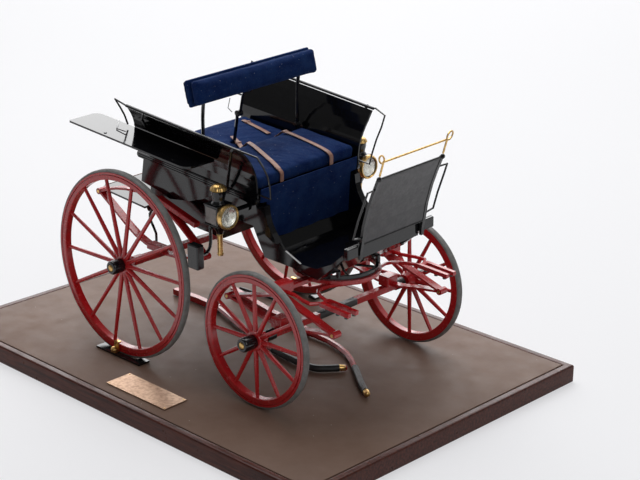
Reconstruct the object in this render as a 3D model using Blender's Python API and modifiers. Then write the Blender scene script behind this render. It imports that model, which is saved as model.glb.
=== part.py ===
"""A 1:8 model of an open phaeton carriage, shafts off, held on a wooden display base.

Sizes are millimetres, and MM turns them into metres. The carriage's axes are x forward,
y to its left and z up, with x = 0 at the rear axle, y = 0 on its centre plane and z = 0
where the tyres stand. The model's origin is the middle of the base's underside, so one
empty sets the carriage in its place on the base.

The body leans 2 degrees towards its right wheels and 3.5 degrees nose down, as the model
was found. Its pieces are drawn upright and hang on an empty that leans them. Seat and side
pieces hang on a second, pitched empty, and use u forward and w up from BODY_FOOT.
Pieces for both sides are drawn on the left, where y is positive, and mirrored.
"""
import math

import bmesh
import bpy
from mathutils import Matrix, Vector

MM = 0.001
GAP = 0.3
WELD = 0.005

# Display base
BASE_X = (-147.0, 252.5)
BASE_Y = (-151.7, 138.25)
BASE_THICK = 14.2
MOULDING_WIDE = 6.0
GROOVE = 0.5
PLAQUE_CORNERS = ((31.6, -137.1), (31.0, -114.1), (94.5, -114.6), (95.4, -136.7))
PLAQUE_THICK = 0.8

# Where the carriage and its body stand over the base
CARRIAGE_SHIFT = (-52.75, 6.73, 14.2)
LEAN_FOOT = 140.0
BODY_LEAN = math.radians(2.0)
BODY_FOOT = 100.0
BODY_PITCH = math.radians(3.5)

# Wheels: axle x and z, radius, mid-plane, spokes, phase of the first spoke, hub and cap ends
REAR_AXLE = (0.0, 73.0)
REAR_RADIUS = 73.0
REAR_TRACK = 92.3
REAR_SPOKES = 14
REAR_PHASE = math.radians(2.25)
REAR_HUB_OUTER = 1.8
REAR_CAP_END = 12.9
FRONT_AXLE = (134.7, 50.65)
FRONT_RADIUS = 50.65
FRONT_TRACK = 84.0
FRONT_SPOKES = 12
FRONT_PHASE = math.radians(2.4)
FRONT_HUB_OUTER = 2.6
FRONT_CAP_END = 14.7
TYRE_DEEP = 2.4
FELLOE_DEEP = 5.0
RIM_WIDE = 6.0
SPOKE_RADII = (1.35, 1.2)
SPOKE_SIDES = 5
HUB_RADIUS = 7.6
HUB_BORE = 2.4
HUB_INNER = -7.0
CAP_RADIUS = 5.4
HUB_STEPS = 12
REAR_RIM_STEPS = 32
FRONT_RIM_STEPS = 28

# Clamps that hold the rear wheels to the base
CLAMP_X = -5.1
CLAMP_THICK = 1.5
CLAMP_WIDE = 5.0
CLAMP_LAP = 1.3

# Axles and springs: each spring is two bowed leaves that meet at round eyes
AXLE_HALF = 2.4
ARM_RADIUS = 2.0
SPRING_Y = 58.3
LEAF_WIDE = 6.5
LEAF_THICK = 1.8
EYE_RADIUS = 2.6
REAR_UPPER_LEAF = (
    (-65.0, 108.0), (-44.0, 115.2), (-20.0, 118.6), (3.5, 115.8), (30.0, 102.5), (54.0, 85.0),
)
REAR_LOWER_LEAF = (
    (-65.0, 108.0), (-44.0, 95.4), (-22.0, 82.6), (0.0, 77.2), (24.0, 77.2), (54.0, 85.0),
)
FRONT_UPPER_LEAF = (
    (82.4, 63.0), (104.4, 69.5), (119.4, 73.6), (134.7, 77.5), (150.0, 73.6), (165.0, 69.5), (187.0, 63.0),
)
FRONT_LOWER_LEAF = (
    (82.4, 63.0), (104.4, 59.5), (119.4, 56.5), (134.7, 55.2), (150.0, 56.5), (165.0, 59.5), (187.0, 63.0),
)
BEARER_PLACE = (24.0, 112.7)
BEARER_HALF = 22.0
BEARER_TILT = 14.0

# Turning gear, found a little off the centre plane and turned a little to the left
GEAR_SHIFT = (-1.15, -0.75)
GEAR_TURN = math.radians(0.78)
LOWER_RING = ((32.8, 84.8), (32.8, 82.0), (29.2, 82.0), (29.2, 84.8))
UPPER_RING = ((31.0, 87.9), (31.0, 85.3), (28.6, 85.3), (28.6, 87.9))
RING_STEPS = 26
RING_SPOKES = 6
RING_HUB_STEPS = 16
RING_POST_ANGLE = math.radians(45.0)
KING_RADIUS = 2.4
KING_TOP = 91.0
TRANSOM_Z = (80.5, 84.2)
BOW = (
    (176.0, 50.2), (169.5, 49.6), (163.0, 47.4), (157.0, 43.8), (152.9, 39.4), (151.6, 34.6), (152.8, 28.6),
    (157.6, 18.0), (162.6, 8.6), (165.5, 0.0),
)
OUTER_ARM = (
    (135.0, 57.5), (147.0, 58.0), (158.0, 61.5), (166.6, 62.6), (170.0, 57.4), (176.0, 57.4),
)
BOW_RADIUS = 1.35
FORK_Y = (49.6, 57.4)
FORK_X = (172.0, 199.0)
FORK_Z = 81.2

# Tub: the side wall's lower and upper edges, with the arch cut up into it
TUB_Y = 46.0
WALL_THICK = 1.6
TUB_BOTTOM = (
    (-23.6, 101.9), (58.2, 98.3), (60.1, 117.2), (90.7, 117.2), (102.4, 95.3), (128.4, 95.2),
    (155.4, 92.5), (180.8, 115.1),
)
TUB_TOP = (
    (180.3, 118.2), (168.9, 108.0), (154.1, 100.6), (138.3, 100.0), (123.4, 105.9), (106.4, 123.9),
    (103.8, 136.1),
)
PILLAR = (
    (98.5, 136.9), (107.6, 136.9), (108.4, 130.0), (110.2, 123.9), (114.3, 117.6), (119.5, 111.5),
    (115.0, 111.5), (106.0, 116.0), (100.0, 126.0),
)
PILLAR_Y = (44.7, 50.0)
HOOK_IRON = (
    (-19.0, 45.2, 104.5), (-25.4, 45.2, 96.5), (-24.0, 45.2, 90.0), (-19.0, 45.2, 82.0),
    (-19.6, 45.2, 72.5),
)

# Side panels: the flare's y and w, and the panel's front and rear edges in u and w
SIDE_THICK = 1.4
PANEL_Y = 53.5
FLARE = (
    (53.0, 49.3), (53.1, 56.0), (53.9, 62.2), (55.2, 67.5), (57.3, 72.4), (59.9, 77.0), (63.6, 82.3),
    (71.6, 91.4),
)
FLARE_FRONT = (
    (101.4, 49.3), (100.6, 54.0), (100.4, 62.2), (100.3, 72.0), (100.2, 80.8), (99.0, 86.9),
)
FLARE_REAR = ((-20.8, 88.7), (-24.3, 80.9), (-28.9, 69.5), (-28.0, 56.2), (-25.7, 49.3))
BELLY = (
    (-22.4, 44.6), (-25.0, 24.7), (-5.9, 22.7), (7.8, 20.0), (30.1, 25.3), (44.3, 31.3), (65.4, 44.6),
)
MOULDING_U = (-28.8, 101.3)
MOULDING_W = (44.0, 49.0)
BEAD_RADIUS = 0.75

# Irons on a flared side: the bead's ends, the two stays, the handle in front, the loop behind
RIM_BEAD = ((-21.8, 90.2, 70.2), (99.2, 88.4, 69.0))
REAR_STAY = ((3.6, 71.2, 189.4), (1.0, 70.4, 184.4), (-3.0, 63.6, 176.2), (-6.0, 60.6, 173.0))
FRONT_STAY = ((98.0, 69.6, 183.2), (96.0, 70.0, 181.0), (75.2, 56.0, 144.7))
SIDE_HANDLE = (
    (104.0, 69.2, 182.4), (106.0, 69.6, 182.6), (118.2, 66.4, 180.2), (119.0, 61.6, 172.2),
    (118.4, 56.9, 163.9), (117.2, 53.6, 154.0), (116.0, 51.9, 145.1), (105.2, 52.0, 145.6),
)
SIDE_LOOP = (
    (-16.0, 70.2, 191.2), (-28.4, 70.8, 194.2), (-27.4, 67.0, 187.0), (-26.6, 64.0, 180.4),
    (-27.0, 61.0, 172.6),
)
STAY_RADIUS = 1.1
WIRE_RADIUS = 0.7

# Seat and wing boards
SEAT_U = (-23.0, 98.6)
SEAT_W = (44.4, 46.0)
RISER_U = (43.4, 98.5)
RISER_Y = 50.5
WING_U = (-71.8, 60.7)
WING_Y = (56.9, 85.0)
WING_W = 68.4
WING_THICK = 1.5
WING_BOLTS = ((-32.9, 81.5), (41.8, 80.0))

# Upholstery
CUSHION_Y = 51.4
FRONT_CUSHION_U = (42.4, 100.0)
FRONT_CUSHION_W = (53.5, 63.4)
REAR_CUSHION_U = (-22.0, 36.9)
REAR_CUSHION_W = (46.3, 55.2)
CUSHION_EDGE = 2.6
CUSHION_CROWN = 1.6
SIDE_DRAW = 0.7
DENT_DEEP = 0.7
DENT_WIDE = 3.4
STAY_HOLE = 2.2
STAY_SLIT = 1.7
STRAP_WIDE = 3.4
STRAP_THICK = 0.7
STRAP_LIFT = 0.7
STRAP_END_W = 55.8
RIGHT_STRAP = ((14.0, 4.5), (33.5, -4.6), (44.0, -8.2), (97.4, -29.0))
LEFT_STRAP = ((36.6, 29.2), (44.0, 28.6), (97.4, 22.6))
REAR_STRAP = ((-8.0, 37.0), (27.0, 31.0))
FALL_X = 104.6
FALL_SHOULDER_Z = 138.0
FALL_HALF = (44.0, 50.2)
FALL_THICK = 1.2
FALL_ROWS = (149.0, 144.0, 138.8, 138.0, 131.0, 124.0, 117.0, 112.0, 107.0)
FALL_STEPS = 14
FALL_BACK = 4.0
FALL_FOLDS = 4
FALL_WAVE = 0.7

# Back-rest, which folds about its posts' feet
BACK_HINGE = (43.4, 161.9)
POST_Y = 49.0
POST_RADIUS = 1.4
BOARD_CENTRE = (43.9, 210.2)
BOARD_TILT = -11.5
BOARD_HALF = (1.1, 62.2, 9.6)
PAD_FRONT_THICK = 8.0
PAD_REAR_THICK = 3.4
STAY_KNUCKLE = (30.3, 179.2)
KNUCKLE_RADIUS = 2.5
LOWER_STAY = ((22.0, 0, 143.8), (23.4, 0, 151.0), (28.4, -1.0, 171.5), (30.0, -1.6, 177.6))
UPPER_STAY = ((30.7, 1.2, 180.6), (33.8, 0.8, 192.2), (37.0, 0, 197.6), (44.0, 0, 199.2), (45.7, 0, 202.4))
UPPER_POST = ((43.4, 161.9), (44.0, 190.0), (44.6, 196.5), (45.6, 203.5))
HINGE_PIN = 0.7
HINGE_BORE = 1.0

# Dash and rein rail
DASH_PATH = ((185.4, 123.6), (187.8, 137.5), (192.2, 152.6), (196.4, 163.6), (201.1, 174.5))
DASH_HALF = 30.8
DASH_THICK = 1.6
IRON_FOOT = ((184.0, 112.2), (184.3, 118.0))
IRON_Y = (31.2, 34.0)
DASH_TOP = (201.6, 175.2)
DASH_HANDLE = (
    (197.9, 33.4, 167.0), (199.2, 41.8, 167.3), (196.6, 42.0, 160.0), (190.6, 42.2, 144.0),
    (186.5, 42.3, 130.5), (185.9, 33.4, 128.9),
)
TOE_X = (181.1, 182.3)
TOE_END_Z = (114.5, 122.9)
TOE_Z = (111.6, 123.2)
TOE_BLOCK_Y = (35.0, 45.8)
RAIL_TOP = (205.8, 188.8)
RAIL_FOOT = (202.4, 177.9)
RAIL_Y = 33.2
RAIL_RADIUS = 0.75
LOOP_HALF = (3.5, 2.3)
LOOP_STEPS = 12

# Lamps
LAMP_Y = 73.8
LAMP_X = 85.5
LAMP_BOX_X = (77.8, 91.5)
LAMP_BOX_Z = (125.0, 140.5)
LAMP_BOX_HALF = 7.2
LAMP_CHIMNEY = (
    (0, 156.6), (2.6, 156.1), (4.9, 154.2), (6.1, 151.4), (6.1, 150.4), (5.3, 150.0), (5.2, 147.6),
    (4.5, 143.4), (4.5, 142.2), (5.2, 141.6), (5.2, 140.0), (0, 140.0),
)
LAMP_TAIL = (
    (0, 125.5), (5.4, 125.5), (5.4, 124.4), (3.0, 119.4), (2.0, 117.6), (2.0, 101.4), (1.5, 100.6),
    (0, 100.6),
)
LAMP_STEPS = 12
LENS_STEPS = 16
LAMP_ARM_Z = 131.0
LENS_Z = 132.5
LENS_PROFILE = (
    (0, 5.0), (3.2, 4.7), (6.2, 3.7), (7.4, 2.9), (7.8, 4.4), (8.7, 4.6), (9.35, 3.8), (9.35, 2.0),
    (8.2, 0.9), (8.2, 0.0), (0, 0.0),
)

# Footboard behind the body, which folds up about its front edge
FOOTBOARD_HINGE = (-25.2, 101.4)
FOOTBOARD_SLOPE = 3.9
FOOTBOARD_LONG = 56.3
FOOTBOARD_Y = 47.5
FOOTBOARD_THICK = 1.6
PIN_RADIUS = 0.8

# Brake
BRAKE_SHAFT = (62.5, 112.3)
BRAKE_SHAFT_RADIUS = 1.6
BRAKE_SHAFT_END = 62.6
BRAKE_ARM = (
    (62.5, 62.0, 112.3), (62.8, 62.3, 104.0), (63.2, 63.5, 98.6), (66.0, 70.0, 95.6), (71.4, 82.0, 98.4),
    (76.0, 88.0, 101.0),
)
BRAKE_BLOCK_X = (72.0, 83.0)
BRAKE_BLOCK_Y = (87.0, 94.0)
BRAKE_BLOCK_Z = (93.6, 112.0)

# Loose shafts on the base
SHAFT_Z = 2.8
SHAFT_RADIUS = 2.3
LONG_SHAFT = (
    (-33.0, 52.0), (-4.0, 45.6), (23.0, 40.0), (48.0, 37.4), (73.0, 32.6), (97.0, 31.6), (123.5, 23.6),
    (145.0, 9.0), (168.0, -9.0), (181.5, -18.0),
)
LONG_SQUARE = 4
SHORT_SHAFT = (
    (-65.0, 16.0), (-38.0, 16.8), (-12.0, 16.0), (29.0, 2.0), (79.0, -11.0), (110.0, -14.0),
    (123.5, -13.0), (137.0, 1.0), (139.0, 5.0),
)
SHORT_SQUARE = 2


def clear_scene():
    for item in list(bpy.data.objects):
        bpy.data.objects.remove(item, do_unlink=True)


def new_collection(name):
    group = bpy.data.collections.new(name)
    bpy.context.scene.collection.children.link(group)
    return group


clear_scene()
PARTS = new_collection("model_phaeton_carriage")
CUTTERS = new_collection("cutters")


def paint(name, colour, roughness, metallic=0.0):
    """A Principled material with one colour."""
    material = bpy.data.materials.new(name)
    material.use_nodes = True
    shader = material.node_tree.nodes["Principled BSDF"]
    shader.inputs["Base Color"].default_value = (*colour, 1.0)
    shader.inputs["Roughness"].default_value = roughness
    shader.inputs["Metallic"].default_value = metallic
    return material


RED = paint("red_paint", (0.42, 0.015, 0.02), 0.25)
BLACK = paint("black_gloss", (0.012, 0.012, 0.014), 0.15)
IRON = paint("black_iron", (0.02, 0.02, 0.022), 0.4, 0.3)
NAVY = paint("navy_cloth", (0.012, 0.024, 0.085), 0.9)
TAN = paint("tan_leather", (0.42, 0.2, 0.12), 0.6)
DASH_LEATHER = paint("dash_leather", (0.07, 0.07, 0.075), 0.5)
BRASS = paint("brass", (0.75, 0.52, 0.2), 0.25, 1.0)
TYRE_RUBBER = paint("grey_rubber", (0.28, 0.28, 0.28), 0.7)
TAUPE = paint("taupe_panel", (0.16, 0.115, 0.1), 0.6)
MAHOGANY = paint("mahogany", (0.07, 0.018, 0.012), 0.35)


def link(name, data):
    item = bpy.data.objects.new(name, data)
    PARTS.objects.link(item)
    return item


def from_bmesh(shape):
    mesh = bpy.data.meshes.new("piece")
    shape.to_mesh(mesh)
    shape.free()
    return link("piece", mesh)


def solid(item):
    """The object as a plain mesh, its modifiers applied and its seams welded."""
    bpy.context.view_layer.update()
    ready = item.evaluated_get(bpy.context.evaluated_depsgraph_get())
    mesh = bpy.data.meshes.new_from_object(ready)
    mesh.transform(item.matrix_world)
    shape = bmesh.new()
    shape.from_mesh(mesh)
    bmesh.ops.remove_doubles(shape, verts=shape.verts, dist=WELD * MM)
    bmesh.ops.recalc_face_normals(shape, faces=shape.faces)
    shape.to_mesh(mesh)
    shape.free()
    bpy.data.objects.remove(item)
    return link("piece", mesh)


def moved(item, matrix):
    item.data.transform(matrix)
    return item


def shift(x, y, z):
    return Matrix.Translation(Vector((x, y, z)) * MM)


def turn(degrees, axis):
    return Matrix.Rotation(math.radians(degrees), 4, axis)


def box(low, high, rounding=0.0):
    """A box between two corners, with its edges rounded where asked."""
    low, high = Vector(low) * MM, Vector(high) * MM
    shape = bmesh.new()
    size = Matrix.Diagonal((*(high - low), 1.0))
    bmesh.ops.create_cube(shape, size=1.0, matrix=Matrix.Translation((low + high) / 2) @ size)
    if rounding:
        bmesh.ops.bevel(
            shape, geom=shape.edges, offset=rounding * MM, segments=1, profile=0.5, affect="EDGES"
        )
    return from_bmesh(shape)


def rod(start, end, radius, end_radius=None, sides=10, spin=0.0):
    """A straight round bar, tapered where it is given a second radius."""
    start, end = Vector(start) * MM, Vector(end) * MM
    along = end - start
    aim = along.to_track_quat("Z", "Y").to_matrix().to_4x4()
    shape = bmesh.new()
    bmesh.ops.create_cone(
        shape,
        cap_ends=True,
        segments=sides,
        radius1=radius * MM,
        radius2=(radius if end_radius is None else end_radius) * MM,
        depth=along.length,
        matrix=Matrix.Translation((start + end) / 2) @ aim @ Matrix.Rotation(spin, 4, "Z"),
    )
    return from_bmesh(shape)


def disc(x, z, y_low, y_high, radius, sides=12):
    """A round plate or barrel about an axis along y."""
    return rod((x, y_low, z), (x, y_high, z), radius, sides=sides)


def square_bar(start, end, half):
    """A straight square bar between two points."""
    return rod(start, end, half * math.sqrt(2), sides=4, spin=math.pi / 4)


def ball(centre, radius, flat=1.0, sides=10):
    """A ball, lower than it is wide where flat is under 1."""
    shape = bmesh.new()
    place = Matrix.Translation(Vector(centre) * MM) @ Matrix.Diagonal((1.0, 1.0, flat, 1.0))
    bmesh.ops.create_uvsphere(shape, u_segments=sides, v_segments=6, radius=radius * MM, matrix=place)
    return from_bmesh(shape)


def smooth_route(points, steps):
    """Points read from a smooth curve through the given ones, steps to each stretch."""
    knots = [Vector(point) for point in points]
    knots = [2 * knots[0] - knots[1], *knots, 2 * knots[-1] - knots[-2]]
    route = []
    for index in range(1, len(knots) - 2):
        before, here, there, after = knots[index - 1:index + 3]
        for step in range(steps):
            t = step / steps
            route.append(
                0.5 * (2 * here + (there - before) * t
                       + (2 * before - 5 * here + 4 * there - after) * t ** 2
                       + (3 * here - before - 3 * there + after) * t ** 3)
            )
    route.append(knots[-2])
    return route


def tube(points, radius, closed=False, roundness=1, steps=1):
    """A round wire or bar through points."""
    if steps > 1:
        points = smooth_route(points, steps)
    curve = bpy.data.curves.new("tube", "CURVE")
    curve.dimensions = "3D"
    curve.bevel_depth = radius * MM
    curve.bevel_resolution = roundness
    curve.use_fill_caps = not closed
    spline = curve.splines.new("POLY")
    spline.points.add(len(points) - 1)
    for knot, place in zip(spline.points, points):
        knot.co = (*(Vector(place) * MM), 1.0)
    spline.use_cyclic_u = closed
    return solid(link("tube", curve))


def outline(loops, thick):
    """A flat shape from closed loops of points, thick along its own z."""
    curve = bpy.data.curves.new("outline", "CURVE")
    curve.dimensions = "2D"
    curve.fill_mode = "BOTH"
    curve.extrude = thick / 2 * MM
    for loop in loops:
        spline = curve.splines.new("POLY")
        spline.points.add(len(loop) - 1)
        for knot, (across, up) in zip(spline.points, loop):
            knot.co = (across * MM, up * MM, 0.0, 1.0)
        spline.use_cyclic_u = True
    return solid(link("outline", curve))


def upright(loops, y, thick):
    """A flat shape drawn in x and z, standing with its middle at y."""
    return moved(outline(loops, thick), shift(0, y, 0) @ turn(90, "X"))


def corner(x, y, radius, start, steps=4):
    """A quarter turn clockwise about a point, from an angle in degrees."""
    angles = [math.radians(start - 90 * step / steps) for step in range(steps + 1)]
    return [(x + radius * math.cos(angle), y + radius * math.sin(angle)) for angle in angles]


def rounded_rectangle(low, high, radius):
    """A rectangle's loop of points with round corners."""
    return (corner(high[0] - radius, high[1] - radius, radius, 90)
            + corner(high[0] - radius, low[1] + radius, radius, 0)
            + corner(low[0] + radius, low[1] + radius, radius, 270)
            + corner(low[0] + radius, high[1] - radius, radius, 180))


def sheet(path, y_low, y_high, thick, side=0.0):
    """A bent sheet: a path in x and z carried across from y_low to y_high."""
    shape = bmesh.new()
    knots = [shape.verts.new(Vector((x, y_low, z)) * MM) for x, z in path]
    edges = [shape.edges.new(pair) for pair in zip(knots, knots[1:])]
    swept = bmesh.ops.extrude_edge_only(shape, edges=edges)["geom"]
    across = [element for element in swept if isinstance(element, bmesh.types.BMVert)]
    bmesh.ops.translate(shape, verts=across, vec=(0, (y_high - y_low) * MM, 0))
    return thickened(from_bmesh(shape), thick, side)


def thickened(item, thick, side=0.0):
    skin = item.modifiers.new("thickness", "SOLIDIFY")
    skin.thickness = thick * MM
    skin.offset = side
    skin.use_even_offset = True
    return solid(item)


def woven(rows, thick):
    """A sheet through rows of points, all rows as long as the first."""
    shape = bmesh.new()
    knots = [[shape.verts.new(Vector(point) * MM) for point in row] for row in rows]
    for near, far in zip(knots, knots[1:]):
        for index in range(len(near) - 1):
            shape.faces.new((near[index], near[index + 1], far[index + 1], far[index]))
    return thickened(from_bmesh(shape), thick)


def turned(profile, steps, closed=True):
    """A shape turned about z from radii and heights listed down its outer side."""
    shape = bmesh.new()
    knots = [shape.verts.new((radius * MM, 0, height * MM)) for radius, height in profile]
    for pair in zip(knots, knots[1:]):
        shape.edges.new(pair)
    if closed:
        shape.edges.new((knots[-1], knots[0]))
    item = from_bmesh(shape)
    screw = item.modifiers.new("turned", "SCREW")
    screw.steps = steps
    screw.render_steps = steps
    screw.use_merge_vertices = True
    screw.merge_threshold = 0.00001
    return solid(item)


def fuse(*pieces):
    """One body from pieces that overlap."""
    first = pieces[0]
    for piece in pieces[1:]:
        join = first.modifiers.new("join", "BOOLEAN")
        join.operation = "UNION"
        join.solver = "EXACT"
        join.object = piece
    whole = solid(first)
    for piece in pieces[1:]:
        bpy.data.objects.remove(piece)
    return whole


def trim(item, tool, operation="DIFFERENCE"):
    """The item cut by a tool, or kept only inside it."""
    cut = item.modifiers.new("cut", "BOOLEAN")
    cut.operation = operation
    cut.solver = "EXACT"
    cut.object = tool
    whole = solid(item)
    bpy.data.objects.remove(tool)
    return whole


def empty(name, parent=None, place=(0, 0, 0), rotation=(0, 0, 0)):
    item = bpy.data.objects.new(name, None)
    PARTS.objects.link(item)
    item.parent = parent
    item.location = Vector(place) * MM
    item.rotation_euler = rotation
    return item


def part(name, item, material, parent):
    """Name a finished piece, give it its material and hang it on an empty."""
    item.name = name
    item.data.name = name
    item.data.materials.clear()
    item.data.materials.append(material)
    item.data.shade_smooth()
    item.data.set_sharp_from_angle(angle=math.radians(35))
    item.parent = parent
    return item


def on_joint(item, place):
    """Carry a piece, made in its parent's coordinates, to a joint's empty at place."""
    return moved(item, shift(-place[0], -place[1], -place[2]))


def body_part(name, item, material):
    """Hang a piece, made in the upright body's coordinates, on the leaning body."""
    return part(name, on_joint(item, (0, 0, LEAN_FOOT)), material, BODY)


def body_joint(name, place):
    return empty(name, BODY, (place[0], 0, place[1] - LEAN_FOOT))


def mirrored(item):
    """The same piece for the other side of the carriage."""
    moved(item, Matrix.Diagonal((1.0, -1.0, 1.0, 1.0)))
    item.data.flip_normals()
    return item


def for_side(item, side):
    """Pieces are made on the left, where y is positive: side -1 is the right."""
    return item if side > 0 else mirrored(item)


def in_body(u, w):
    """A seat point, given by u and w, as the upright body's x and z."""
    cos, sin = math.cos(BODY_PITCH), math.sin(BODY_PITCH)
    return u * cos + w * sin, BODY_FOOT - u * sin + w * cos


def upright_seat(item):
    """Carry a piece made in u and w into the upright body's coordinates."""
    return moved(item, shift(0, 0, BODY_FOOT) @ Matrix.Rotation(BODY_PITCH, 4, "Y"))


CARRIAGE = empty("carriage", place=CARRIAGE_SHIFT)
BODY = empty("body", CARRIAGE, (0, 0, LEAN_FOOT), (BODY_LEAN, 0, 0))
SEAT = empty("seat", BODY, (0, 0, BODY_FOOT - LEAN_FOOT), (0, BODY_PITCH, 0))
SIDES = (("right", -1), ("left", 1))


def display_base():
    low, high = (BASE_X[0], BASE_Y[0]), (BASE_X[1], BASE_Y[1])
    inner_low = [value + MOULDING_WIDE for value in low]
    inner_high = [value - MOULDING_WIDE for value in high]
    top = -GAP
    middle = (top - BASE_THICK) / 2
    frame_loops = [
        [(low[0], low[1]), (high[0], low[1]), (high[0], high[1]), (low[0], high[1])],
        [(inner_low[0], inner_low[1]), (inner_low[0], inner_high[1]),
         (inner_high[0], inner_high[1]), (inner_high[0], inner_low[1])],
    ]
    frame = moved(outline(frame_loops, top + BASE_THICK), shift(0, 0, middle))
    part("base_moulding", frame, MAHOGANY, CARRIAGE)
    panel = box(
        (inner_low[0] + GROOVE, inner_low[1] + GROOVE, -BASE_THICK),
        (inner_high[0] - GROOVE, inner_high[1] - GROOVE, top),
    )
    part("base_panel", panel, TAUPE, CARRIAGE)
    plate = moved(outline([PLAQUE_CORNERS], PLAQUE_THICK), shift(0, 0, PLAQUE_THICK / 2))
    part("plaque", plate, BRASS, CARRIAGE)


def loose_shafts():
    """Two shafts lying on the base: square wood behind, a bent round front."""
    shafts = (
        ("loose_shaft_long", LONG_SHAFT, LONG_SQUARE),
        ("loose_shaft_short", SHORT_SHAFT, SHORT_SQUARE),
    )
    half = SHAFT_RADIUS + 0.15
    for name, route, square_ends in shafts:
        pieces = [tube([(x, y, SHAFT_Z) for x, y in route], SHAFT_RADIUS, steps=2)]
        for start, end in zip(route[:square_ends], route[1:]):
            pieces.append(square_bar((*start, SHAFT_Z), (*end, SHAFT_Z), half))
        part(name, fuse(*pieces), RED, CARRIAGE)


def rim_clamp(name, side):
    """The plate screwed to the base beside a rear tyre, and its strap over the felloe's edge."""
    face = REAR_TRACK + RIM_WIDE / 2
    neck = [
        (-25, face - 5.5), (-17.6, face - 5.5), (-16.6, face + 1), (16.6, face + 1),
        (17.6, face - 5.5), (25, face - 5.5), (25, face + 5.2), (-25, face + 5.2),
    ]
    plate = moved(outline([neck], CLAMP_THICK), shift(0, 0, CLAMP_THICK / 2))
    part("clamp_plate_" + name, for_side(plate, side), IRON, CARRIAGE)
    inner_radius = REAR_RADIUS - TYRE_DEEP - GAP - FELLOE_DEEP
    reach = abs(CLAMP_X) + CLAMP_WIDE / 2
    low_z = CLAMP_THICK + GAP + 0.5
    high_z = REAR_RADIUS - math.sqrt(inner_radius ** 2 - reach ** 2) + 1.4
    path = [(face + 5.0, low_z), (face + 1.1, low_z), (face + 1.1, high_z), (face - CLAMP_LAP, high_z)]
    strip = sheet(path, -CLAMP_WIDE / 2, CLAMP_WIDE / 2, 1.0)
    strip = moved(strip, shift(CLAMP_X, 0, 0) @ turn(90, "Z"))
    knob = ball((CLAMP_X, face + 3.6, low_z + 1.9), 2.9, 0.85)
    place = (CLAMP_X, side * face, low_z)
    joint = empty("clamp_slide_" + name, CARRIAGE, place)
    part("clamp_strap_" + name, on_joint(for_side(fuse(strip, knob), side), place), BRASS, joint)


def rim_profile(outer, deep, wide, edge):
    """A ring's section with its outer edges eased."""
    half = wide / 2
    return ((outer, half - edge), (outer - edge, half), (outer - deep, half),
            (outer - deep, -half), (outer - edge, -half), (outer, -half + edge))


def spokes(count, phase, start, end):
    """Tapered bars from hub to felloe, as one loose set."""
    shape = bmesh.new()
    for index in range(count):
        spin = Matrix.Rotation(phase + 2 * math.pi * index / count, 4, "Z")
        aim = spin @ Matrix.Rotation(math.pi / 2, 4, "Y")
        place = aim @ Matrix.Translation((0, 0, (start + end) / 2 * MM))
        bmesh.ops.create_cone(
            shape,
            cap_ends=True,
            segments=SPOKE_SIDES,
            radius1=SPOKE_RADII[0] * MM,
            radius2=SPOKE_RADII[1] * MM,
            depth=(end - start) * MM,
            matrix=place,
        )
    return from_bmesh(shape)


def wheel(name, side, sizes, parent, parent_place):
    """Tyre, wheel and hub cap, turned about the joint's empty, with outwards as its z."""
    axle, radius, track, count, phase, hub_outer, cap_end, steps = sizes
    place = (axle[0], side * track, axle[1])
    outwards = (math.radians(-90 * side), 0, 0)
    joint = empty("spin_" + name, parent, Vector(place) - Vector(parent_place), outwards)
    tyre = turned(rim_profile(radius, TYRE_DEEP, RIM_WIDE - 0.6, 0.8), steps)
    part("tyre_" + name, tyre, TYRE_RUBBER, joint)
    felloe_radius = radius - TYRE_DEEP - GAP
    half = RIM_WIDE / 2
    inner = felloe_radius - FELLOE_DEEP
    felloe_profile = (
        (felloe_radius, half), (felloe_radius, -half), (inner, -half), (inner, half),
    )
    hub_profile = (
        (HUB_RADIUS - 0.8, hub_outer), (HUB_RADIUS, hub_outer - 0.8), (HUB_RADIUS, -2.6),
        (HUB_RADIUS - 2.2, HUB_INNER), (HUB_BORE, HUB_INNER), (HUB_BORE, hub_outer),
    )
    bars = spokes(count, -side * phase, HUB_RADIUS - 1.1, inner + 1.6)
    whole = fuse(turned(felloe_profile, steps), bars, turned(hub_profile, HUB_STEPS))
    part("wheel_" + name, whole, RED, joint)
    low = hub_outer + GAP
    cap_profile = (
        (0, cap_end), (2.6, cap_end), (3.0, cap_end - 0.9), (CAP_RADIUS - 0.9, cap_end - 0.9),
        (CAP_RADIUS - 0.3, cap_end - 1.8), (CAP_RADIUS, low), (0, low),
    )
    part("hub_cap_" + name, turned(cap_profile, HUB_STEPS, closed=False), BLACK, joint)


def axle(place, bed_end, arm_end):
    """A square bed with a collar and a round arm at each end for the wheel."""
    x, z = place
    bed = box((x - AXLE_HALF, -bed_end, z - AXLE_HALF), (x + AXLE_HALF, bed_end, z + AXLE_HALF))
    arms = []
    for _, side in SIDES:
        arms.append(rod((x, side * (bed_end - 9), z), (x, side * (bed_end - 1), z), 3.8, sides=14))
        arms.append(rod((x, side * (bed_end - 2), z), (x, side * arm_end, z), ARM_RADIUS, sides=12))
    return fuse(bed, *arms)


def spring(upper, lower, blocks):
    """Two bowed leaves on the left side, their eyes, and the blocks that hold them."""
    low, high = SPRING_Y - LEAF_WIDE / 2, SPRING_Y + LEAF_WIDE / 2
    pieces = []
    for leaf in (upper, lower):
        route = smooth_route([(x, z, 0) for x, z in leaf], 2)
        pieces.append(sheet([point[:2] for point in route], low, high, LEAF_THICK))
    for x, z in (upper[0], upper[-1]):
        pieces.append(disc(x, z, low - 0.4, high + 0.4, EYE_RADIUS, sides=10))
    return fuse(*pieces, *blocks)


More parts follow.
